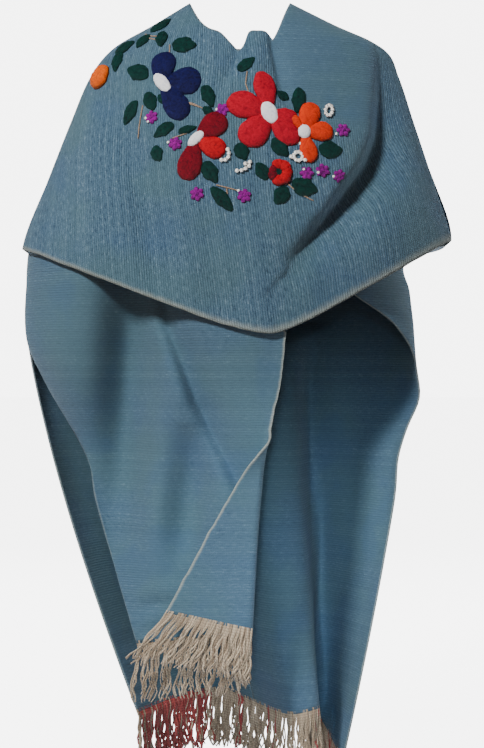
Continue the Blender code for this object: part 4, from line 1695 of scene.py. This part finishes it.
    def felt(self, dye: Dye) -> Material:
        """Give the material of a dye, made once.

        Args:
            dye: the dye.

        Returns:
            The material.
        """
        if dye not in self.finishes:
            self.finishes[dye] = dye.value.material()
        return self.finishes[dye]

    def dome(self, mesh: Mesh, at: Seat, shift: Pair, outline: Curve, height: float,
             base: float, groove: float = 0.0, turn: float = 0.0, slot: int = 0,
             steps: tuple[int, int] = (30, 12)) -> None:
        """Add one puffed felt shape, flat underneath.

        Args:
            mesh: the mesh to add it to.
            at: the frame of the cloth that it lies on.
            shift: the middle's place from the frame's point.
            outline: gives the reach in each direction.
            height: the height of its crown.
            base: how far its underside lies from the cloth.
            groove: how deep the groove along its length is, as a share of the height.
            turn: the direction of that length, in radians.
            slot: the material slot.
            steps: faces round and from pole to pole.
        """
        made = bmesh.ops.create_uvsphere(mesh, u_segments=steps[0], v_segments=steps[1], radius=1.0)
        self.seed += 1.7
        for vert in made["verts"]:
            angle = math.atan2(vert.co.y, vert.co.x)
            out = math.hypot(vert.co.x, vert.co.y)
            high = max(0.0, vert.co.z) ** 0.8
            place = Vector((3.0 * math.cos(angle), 3.0 * math.sin(angle), self.seed))
            ragged = 1.0 + 0.05 * noise.noise(place)
            reach = outline(angle) * out * ragged
            dx, dz = reach * math.cos(angle), reach * math.sin(angle)
            beside = abs(dz * math.cos(turn) - dx * math.sin(turn))
            crown = height * high * (1.0 - groove * math.exp(-(beside / 0.0016) ** 2))
            crown += 0.00035 * high * noise.noise(Vector((dx * 300.0, dz * 300.0, self.seed)))
            vert.co = self.face.lifted(at, shift[0] + dx, shift[1] + dz, base + max(0.0, crown))
        for face in {face for vert in made["verts"] for face in vert.link_faces}:
            face.material_index = slot

    def oval(self, length: float, width: float, turn: float, egg: float = 0.0) -> Curve:
        """Give the outline of an oval.

        Args:
            length: its whole length.
            width: its whole width.
            turn: its direction in radians.
            egg: how much wider the far end is.

        Returns:
            The reach in each direction.
        """
        def reach(angle: float) -> float:
            """Give the reach in one direction.

            Args:
                angle: the direction in radians.

            Returns:
                The reach.
            """
            cosine, sine = math.cos(angle - turn), math.sin(angle - turn)
            half = 0.5 * width * (1.0 + egg * cosine)
            return 1.0 / math.sqrt((cosine / (0.5 * length)) ** 2 + (sine / half) ** 2)

        return reach

    def leaf_outline(self, length: float, width: float, turn: float) -> Curve:
        """Give the outline of a plump leaf, round at its foot and pointed at its tip.

        Args:
            length: its whole length.
            width: its whole width.
            turn: the direction of its tip in radians.

        Returns:
            The reach in each direction.
        """
        tip, side = 0.5 * length, 0.5 * width
        radius = (tip * tip + side * side) / (2.0 * side)
        offset = radius - side
        foot = self.oval(length, width, turn)

        def reach(angle: float) -> float:
            """Give the reach in one direction.

            Args:
                angle: the direction in radians.

            Returns:
                The reach.
            """
            cosine, sine = math.cos(angle - turn), abs(math.sin(angle - turn))
            arc = math.sqrt(radius ** 2 - (offset * cosine) ** 2) - offset * sine
            drawn_in = 0.17 * max(0.0, cosine) ** 0.5 * (2.0 * sine * abs(cosine)) ** 1.5
            ragged = 0.035 * math.sin(5.0 * angle + 700.0 * length) + 0.02 * math.sin(9.0 * angle)
            return mix(foot(angle), arc, 0.5 + 0.5 * cosine) * (1.0 - drawn_in + ragged)

        return reach

    def flower(self, flower: Flower) -> Piece:
        """Make one flower from its petals.

        Args:
            flower: its place, dyes and petals.

        Returns:
            The piece.
        """
        mesh = bmesh.new()
        at = self.face.frame(flower.x, flower.z)
        dyes = [flower.dye] + [petal.dye for petal in flower.petals if petal.dye]
        for petal in flower.petals:
            turn = math.radians(petal.turn)
            middle = flower.core + self.petal_middle * petal.length
            shift = (middle * math.cos(turn), middle * math.sin(turn))
            outline = self.oval(petal.length, 2.0 * petal.half, turn, egg=self.petal_egg)
            slot = dyes.index(petal.dye) if petal.dye else 0
            self.dome(mesh, at, shift, outline, flower.height, self.gap + petal.layer,
                      groove=self.petal_groove, turn=turn, slot=slot)
        piece = link_piece(f"{flower.name}_flower", mesh, self.felt(flower.dye))
        for dye in dyes[1:]:
            piece.data.materials.append(self.felt(dye))
        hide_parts(f"flower_{flower.name}")
        return piece

    def single(self, name: str, node: Optional[str], at: Seat, outline: Curve, dye: Dye, height: float,
               base: float, groove: float = 0.0, turn: float = 0.0) -> Piece:
        """Make a piece of one felt shape, for a node if one is named.

        Args:
            name: the piece's name.
            node: the solid that it stands for, if any.
            at: the frame of the cloth that it lies on.
            outline: gives the reach in each direction.
            dye: its dye.
            height: the height of its crown.
            base: how far its underside lies from the cloth.
            groove: how deep its groove is, as a share of the height.
            turn: the direction of the groove, in radians.

        Returns:
            The piece.
        """
        mesh = bmesh.new()
        self.dome(mesh, at, (0.0, 0.0), outline, height, base, groove, turn)
        piece = link_piece(name, mesh, self.felt(dye))
        if node:
            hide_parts(node)
        return piece

    def leaf(self, leaf: Leaf, name: str, node: Optional[str], base: float) -> Piece:
        """Make one leaf with a groove down its middle.

        Args:
            leaf: its place and size.
            name: the piece's name.
            node: the solid that it stands for, if any.
            base: how far its underside lies from the cloth.

        Returns:
            The piece.
        """
        turn = math.radians(leaf.turn)
        outline = self.leaf_outline(leaf.length, leaf.width, turn)
        return self.single(name, node, self.face.frame(leaf.x, leaf.z), outline, Dye.LEAF,
                           self.leaf_height, base, groove=self.leaf_groove, turn=turn)

    def star(self, number: int, x: float, z: float) -> Piece:
        """Make one little violet from its knots of felt.

        Args:
            number: its number, from 1.
            x: the place across.
            z: the height.

        Returns:
            The piece.
        """
        mesh = bmesh.new()
        at = self.face.frame(x, z)
        for k in range(self.star_petals):
            angle = 2.0 * math.pi * (k / self.star_petals) + 0.7 * number
            shift = (self.star_reach * math.cos(angle), self.star_reach * math.sin(angle))
            self.dome(mesh, at, shift, self.oval(2.2 * self.star_petal, 1.7 * self.star_petal, angle),
                      self.star_height, self.gap, steps=self.star_steps)
        self.dome(mesh, at, (0.0, 0.0), self.oval(*self.core_size, 0.0), self.core_height, self.gap,
                  steps=self.star_steps)
        piece = link_piece(f"violet_{number}", mesh, self.felt(Dye.VIOLET))
        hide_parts(f"star_{number}")
        return piece

    def build(self) -> None:
        """Make all the felt."""
        for flower in self.flowers:
            self.flower(flower)
            if flower.centre:
                length, width, degrees = flower.centre
                outline = self.oval(length, width, math.radians(degrees))
                self.single(f"{flower.name}_heart", f"centre_{flower.name}",
                            self.face.frame(flower.x, flower.z), outline, Dye.WHITE,
                            self.centre_height, flower.height * self.centre_seat)
        for i, leaf in enumerate(self.leaves, start=1):
            self.leaf(leaf, f"felt_leaf_{i:02d}", f"leaf_{i:02d}", self.gap)
        for i, leaf in enumerate(self.tucked, start=1):
            self.leaf(leaf, f"tucked_leaf_{i}", None, self.gap)
        for i, (x, z) in enumerate(self.stars, start=1):
            self.star(i, x, z)


@dataclass
class BeadWork:
    """White beads sewn on the wrap in strings and rings, and single ones beside the violets."""

    face: ClothFace
    gap: float = 0.0003
    bead: float = 0.0030
    small: float = 0.0021
    ring_bead: float = 0.92
    segments: tuple[int, int] = (14, 9)
    ring_reach: float = 0.0062
    ring_beads: int = 9
    strings: tuple[tuple[Pair, ...], ...] = (
        ((-0.0165, -0.2305), (-0.0148, -0.2358), (-0.0155, -0.2412), (-0.0196, -0.2448), (-0.0250, -0.2452)),
        ((-0.0040, -0.2600), (0.0022, -0.2595), (0.0075, -0.2570), (0.0125, -0.2535), (0.0075, -0.2502),
         (0.0135, -0.2478)),
    )
    rings: tuple[Triple, ...] = ((0.0790, -0.2390, 0.0), (0.1220, -0.1730, 1.0))
    extras: tuple[Pair, ...] = ((0.0695, -0.2400), (0.0885, -0.2440))
    singles: tuple[Pair, ...] = (
        (-0.1290, -0.1830), (-0.1255, -0.1880), (-0.0975, -0.2190), (-0.0315, -0.1740),
        (0.1320, -0.2060), (0.1275, -0.2660), (0.1065, -0.2610), (0.0870, -0.2570), (0.0820, -0.2210),
        (-0.0020, -0.2870),
    )

    def drop(self, mesh: Mesh, at: Seat, dx: float, dz: float, radius: float,
             squash: float = 0.8) -> None:
        """Add one bead that rests on the cloth.

        Args:
            mesh: the mesh to add it to.
            at: the frame that it is placed from.
            dx: how far it lies to the right of the frame's point.
            dz: how far it lies above that point.
            radius: half its width.
            squash: its height as a share of its width.
        """
        round_it, down_it = self.segments
        made = bmesh.ops.create_uvsphere(mesh, u_segments=round_it, v_segments=down_it, radius=radius)
        seat = self.face.lifted(at, dx, dz, self.gap + radius * squash)
        out = (seat - self.face.lifted(at, dx, dz, 0.0)).normalized()
        for vert in made["verts"]:
            height = vert.co.dot(out)
            vert.co = seat + vert.co - out * height * (1.0 - squash)

    def finish(self, name: str, mesh: Mesh, material: Material,
               node: Optional[str] = None) -> Piece:
        """Make a piece of beads, for a node if one is named.

        Args:
            name: the piece's name.
            mesh: its shape; it is used up.
            material: its finish.
            node: the solid that it stands for, if any.

        Returns:
            The piece.
        """
        piece = link_piece(name, mesh, material)
        if node:
            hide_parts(node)
        return piece

    def build(self, material: Material) -> None:
        """Sew all the beads on.

        Args:
            material: the beads' finish.
        """
        for number, string in enumerate(self.strings, start=1):
            mesh = bmesh.new()
            for x, z in string:
                self.drop(mesh, self.face.frame(x, z), 0.0, 0.0, self.bead)
            self.finish(f"bead_string_{number}", mesh, material, f"ring_{number}")
        for number, (x, z, tilt) in enumerate(self.rings, start=3):
            mesh = bmesh.new()
            at = self.face.frame(x, z)
            for k in range(self.ring_beads):
                angle = 2.0 * math.pi * k / self.ring_beads
                dx = self.ring_reach * math.cos(angle) * (1.0 - 0.15 * tilt)
                dz = self.ring_reach * math.sin(angle) * (1.0 + 0.18 * tilt) + 0.35 * tilt * dx
                self.drop(mesh, at, dx, dz, self.bead * self.ring_bead)
            self.finish(f"bead_ring_{number}", mesh, material, f"ring_{number}")
        mesh = bmesh.new()
        for x, z in self.extras:
            self.drop(mesh, self.face.frame(x, z), 0.0, 0.0, self.bead)
        for x, z in self.singles:
            self.drop(mesh, self.face.frame(x, z), 0.0, 0.0, self.small)
        self.finish("single_beads", mesh, material)


@dataclass
class Stems:
    """Brown stitched stems between the flowers."""

    face: ClothFace
    radius: float = 0.00095
    steps: int = 12
    paths: tuple[tuple[Pair, ...], ...] = (
        ((-0.134, -0.164), (-0.137, -0.182), (-0.139, -0.196), (-0.140, -0.210)),
        ((-0.095, -0.154), (-0.078, -0.160), (-0.063, -0.165), (-0.050, -0.172)),
        ((-0.093, -0.158), (-0.074, -0.163), (-0.054, -0.170)),
        ((-0.032, -0.279), (-0.016, -0.283), (-0.001, -0.287)),
        ((-0.018, -0.284), (-0.017, -0.292), (-0.019, -0.298)),
        ((-0.134, -0.054), (-0.124, -0.059), (-0.112, -0.060)),
        ((-0.132, -0.060), (-0.122, -0.064), (-0.112, -0.067)),
        ((-0.098, -0.075), (-0.098, -0.092), (-0.099, -0.100)),
        ((-0.092, -0.213), (-0.074, -0.207), (-0.062, -0.200)),
        ((0.010, -0.119), (0.008, -0.137), (0.012, -0.150)),
        ((0.066, -0.278), (0.080, -0.290), (0.100, -0.300)),
    )

    def build(self, material: Material) -> Piece:
        """Stitch the stems.

        Args:
            material: the yarn's finish.

        Returns:
            The piece.
        """
        threads = ThreadMesh()
        for path in self.paths:
            corners = [Vector((x, 0.0, z)) for x, z in path]
            points = []
            for k in range(self.steps + 1):
                spot = place_along(corners, k / self.steps)
                at = self.face.frame(spot.x, spot.z)
                points.append(self.face.lifted(at, 0.0, 0.0, self.radius * (0.75 + 0.25 * (k % 2))))
            threads.add(points, self.radius, sides=6, tone=0.25, dye=0.12)
        piece = threads.finish("stitched_stems", material)
        return piece


@dataclass
class BackSeam:
    """Pale stitches that join the two lengths down the middle of the back."""

    back: Back
    stitch: float = 0.0062
    first: float = 0.06
    last: float = 0.985
    radius: float = 0.0006
    reach: float = 0.0022
    stand_off: float = 0.0018
    slant: float = 0.3
    bow: float = 0.0005
    sink: float = 0.0012
    count: int = 96

    def build(self, material: Material) -> Piece:
        """Sew the seam with slanting stitches on the outer face.

        Args:
            material: the yarn's finish.

        Returns:
            The piece.
        """
        threads = ThreadMesh()
        for k in range(self.count):
            v = mix(self.first, self.last, k / (self.count - 1))
            low = self.back.point(self.back.seam, v)
            below = self.back.point(self.back.seam, v + 0.006)
            beside = self.back.point(self.back.seam + 0.01, v)
            down = (below - low).normalized()
            side = (beside - low).normalized()
            out = side.cross(down).normalized()
            if out.y < 0.0 and v < 0.5:
                out = -out
            a = low - side * self.reach - down * self.slant * self.stitch + out * self.stand_off
            b = low + side * self.reach + down * self.slant * self.stitch + out * self.stand_off
            middle = a.lerp(b, 0.5) + out * self.bow
            threads.add([a - out * self.sink, a, middle, b, b - out * self.sink], self.radius, tone=0.7)
        piece = threads.finish("back_seam_stitches", material)
        return piece


@dataclass(frozen=True)
class Lamp:
    """One lamp: a soft area light, or a spot where it has a cone, given in degrees."""

    name: str
    place: Triple
    aim: Triple
    power: float
    colour: Triple
    size: float
    cone: float = 0.0


@dataclass
class Studio:
    """The floor, the lights and the camera at the photograph's angle."""

    floor_z: float = -1.202
    floor_size: float = 90.0
    camera_x: float = 0.0029
    camera_y: float = -2.4
    camera_z: float = -0.535
    focal_pixels: float = 1655.0
    picture_height: float = 748.0
    sensor: float = 36.0
    sight: float = 60.0
    air_light: float = 0.05
    air_seen: float = 6.0
    lamps: tuple[Lamp, ...] = (
        Lamp("key", (-1.45, -2.60, 1.50), (0.0, 0.0, -0.45), 160.0, (1.0, 0.985, 0.95), 0.5),
        Lamp("right_side", (2.6, 0.9, 0.3), (0.0, 0.0, -0.45), 26.0, (0.92, 0.96, 1.0), 1.2),
        Lamp("right_inside", (0.00, -3.1, -0.45), (0.15, 0.10, -0.83), 430.0, (0.82, 0.91, 1.0), 0.2, 10.5),
        Lamp("hem", (-0.10, -3.1, -1.15), (-0.02, 0.00, -1.06), 240.0, (0.82, 0.91, 1.0), 0.2, 7.0),
        Lamp("left_inside", (0.45, -3.0, -0.95), (-0.26, 0.00, -0.82), 150.0, (0.82, 0.91, 1.0), 0.2, 8.0),
        Lamp("back", (-0.4, 2.8, 1.2), (0.0, 0.0, -0.45), 60.0, (1.0, 1.0, 1.0), 2.0),
    )

    def build(self) -> None:
        """Set up everything round the garment."""
        self.floor()
        for lamp in self.lamps:
            self.hang(lamp)
        self.air()
        self.camera()

    def air(self) -> None:
        """Fill the studio with a pale, plain white that lights the cloth only a little."""
        world = bpy.data.worlds.new("studio air")
        world.use_nodes = True
        tree = world.node_tree
        seen = tree.nodes.new("ShaderNodeLightPath").outputs["Is Camera Ray"]
        strength = tree.nodes.new("ShaderNodeMapRange")
        strength.inputs["To Min"].default_value = self.air_light
        strength.inputs["To Max"].default_value = self.air_seen
        tree.links.new(seen, strength.inputs["Value"])
        background = tree.nodes["Background"]
        background.inputs["Color"].default_value = (1.0, 1.0, 1.0, 1.0)
        tree.links.new(strength.outputs["Result"], background.inputs["Strength"])
        bpy.context.scene.world = world

    def floor(self) -> None:
        """Lay the flat floor."""
        mesh = bmesh.new()
        bmesh.ops.create_grid(mesh, x_segments=2, y_segments=2, size=0.5 * self.floor_size)
        for vert in mesh.verts:
            vert.co.z = self.floor_z
        data = bpy.data.meshes.new("studio_floor")
        mesh.to_mesh(data)
        mesh.free()
        data.materials.append(PaleFloor().material())
        piece = bpy.data.objects.new("studio_floor", data)
        piece.visible_diffuse = False
        show(piece)

    def hang(self, lamp: Lamp) -> None:
        """Hang one lamp and turn it to what it lights.

        Args:
            lamp: what it is and where it hangs.
        """
        data = bpy.data.lights.new(f"{lamp.name}_light", "SPOT" if lamp.cone else "AREA")
        if lamp.cone:
            data.spot_size = math.radians(lamp.cone)
            data.spot_blend = 1.0
            data.shadow_soft_size = lamp.size
        else:
            data.size = lamp.size
        data.energy = lamp.power
        data.color = lamp.colour
        light = bpy.data.objects.new(f"{lamp.name}_light", data)
        light.location = lamp.place
        light.rotation_euler = (Vector(lamp.aim) - Vector(lamp.place)).to_track_quat("-Z", "Y").to_euler()
        show(light)

    def camera(self) -> None:
        """Place the camera, level with the middle of the garment."""
        data = bpy.data.cameras.new("photo_camera")
        data.sensor_fit = "VERTICAL"
        data.sensor_height = self.sensor
        data.lens = self.focal_pixels / self.picture_height * self.sensor
        data.clip_end = self.sight
        camera = bpy.data.objects.new("photo_camera", data)
        camera.location = (self.camera_x, self.camera_y, self.camera_z)
        camera.rotation_euler = (0.5 * math.pi, 0.0, 0.0)
        show(camera)
        bpy.context.scene.camera = camera


@dataclass
class Ruana:
    """The whole garment: two woven lengths, their fringes, and the trim."""

    wall: float = 0.0025
    tuck_to: float = 0.005
    tuck_reach: float = 0.012
    space: WornSpace = field(default_factory=WornSpace)

    def __post_init__(self) -> None:
        """Ready the shapes and the finishes."""
        self.wrap = ChestWrap(self.space)
        self.back = Back(self.space, self.wrap)
        self.thrown = ThrownEnd(self.space, self.wrap)
        self.front = RightFront(self.space, self.wrap)
        self.wool = RibbedWool().material()
        self.yarn = FringeYarn().material()
        self.bead = GlazedBead().material()

    def build_left_length(self) -> Piece:
        """Weave the left length: its back, the wrap and the thrown end.

        Returns:
            The cloth.
        """
        length = ClothLength("left_length")
        wrap_rows = self.wrap.rows
        ridge = [self.wrap.table.at("right_z", j / wrap_rows) for j in range(wrap_rows + 1)]
        self.wrap.add_to(length)
        thrown = self.thrown.add_to(length)
        back = self.back.add_side(length, ridge, left=True)
        cloth = length.finish(self.wall, self.wool)
        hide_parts("front_wrap", "back_left_upper", "back_left_lower", "thrown_end")
        log.info("left length: %.3f square metres", length.area)
        end = WarpFringe("thrown_fringe", 120, 11, length=0.084)
        hem = WarpFringe("back_left_fringe", 300, 12, length=0.088, radius=0.00115, gather=0.30,
                         dyed=lambda share: 0.12)
        self.hang(end, thrown, range(wrap_rows + 1), REAR, "fringe_thrown")
        self.hang(hem, back, range(self.back.left_columns + 1), FRONT, "fringe_back_left")
        return cloth

    def build_right_length(self) -> Piece:
        """Weave the right length: its front, half under the wrap, and its back.

        Returns:
            The cloth.
        """
        length = ClothLength("right_length")
        front = self.front.add_to(length)
        back = self.back.add_side(length, self.front.ridge(), left=False)
        tip = self.back.point(0.0, 0.0)
        length.tuck(tip, self.back.point(0.0, self.tuck_to) - tip, self.tuck_reach)
        cloth = length.finish(self.wall, self.wool)
        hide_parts("front_panel_upper", "front_panel_lower", "back_right")
        log.info("right length: %.3f square metres", length.area)
        first, last = self.front.columns, self.front.columns + self.front.flap_columns
        under = WarpFringe("front_fringe", 84, 13, length=0.086, lean=lambda share: (-0.10, 0.0))
        flap = WarpFringe("flap_fringe", 132, 14, length=0.088, radius=0.00115, lift=0.0006,
                          lean=lambda share: (-0.06 - 0.85 * share ** 1.8, -0.05),
                          reach=lambda share: 0.90 - 0.10 * math.sin(math.pi * share) + 0.2 * share ** 6)
        hem = WarpFringe("back_right_fringe", 220, 15, length=0.086, radius=0.00125, gather=0.25,
                         dyed=lambda share: 0.80 if share < 0.60 else 0.15)
        self.hang(under, front, range(first + 1), FRONT, "fringe_front_under")
        self.hang(flap, front, range(first, last + 1), FRONT, "fringe_front_flap")
        self.hang(hem, back, range(self.back.right_columns + 1), FRONT, "fringe_back_right")
        return cloth

    def hang(self, fringe: WarpFringe, spread: Spread, columns: Sequence[int], out: Vector,
             node: str) -> None:
        """Hang a fringe from the last row of a grid, in place of a node.

        Args:
            fringe: the yarns.
            spread: what the grid measures.
            columns: the grid's columns along the hem.
            out: the direction that the fringe's face looks.
            node: the solid that the fringe stands for.
        """
        edge = [spread.points[i][-1] for i in columns]
        above = [spread.points[i][-3] for i in columns]
        piece = fringe.build(edge, above, self.yarn, out)
        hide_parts(node)

    def build(self) -> None:
        """Build the whole garment in order."""
        cloth = self.build_left_length()
        self.build_right_length()
        face = ClothFace(cloth)
        FeltTrim(face).build()
        BeadWork(face).build(self.bead)
        Stems(face).build(self.yarn)
        BackSeam(self.back).build(self.yarn)


def main() -> None:
    """Build the dressed ruana and what stands round it."""
    logging.basicConfig(level=logging.INFO, format="%(message)s")
    Ruana().build()
    Studio().build()


if __name__ == "__main__":
    main()
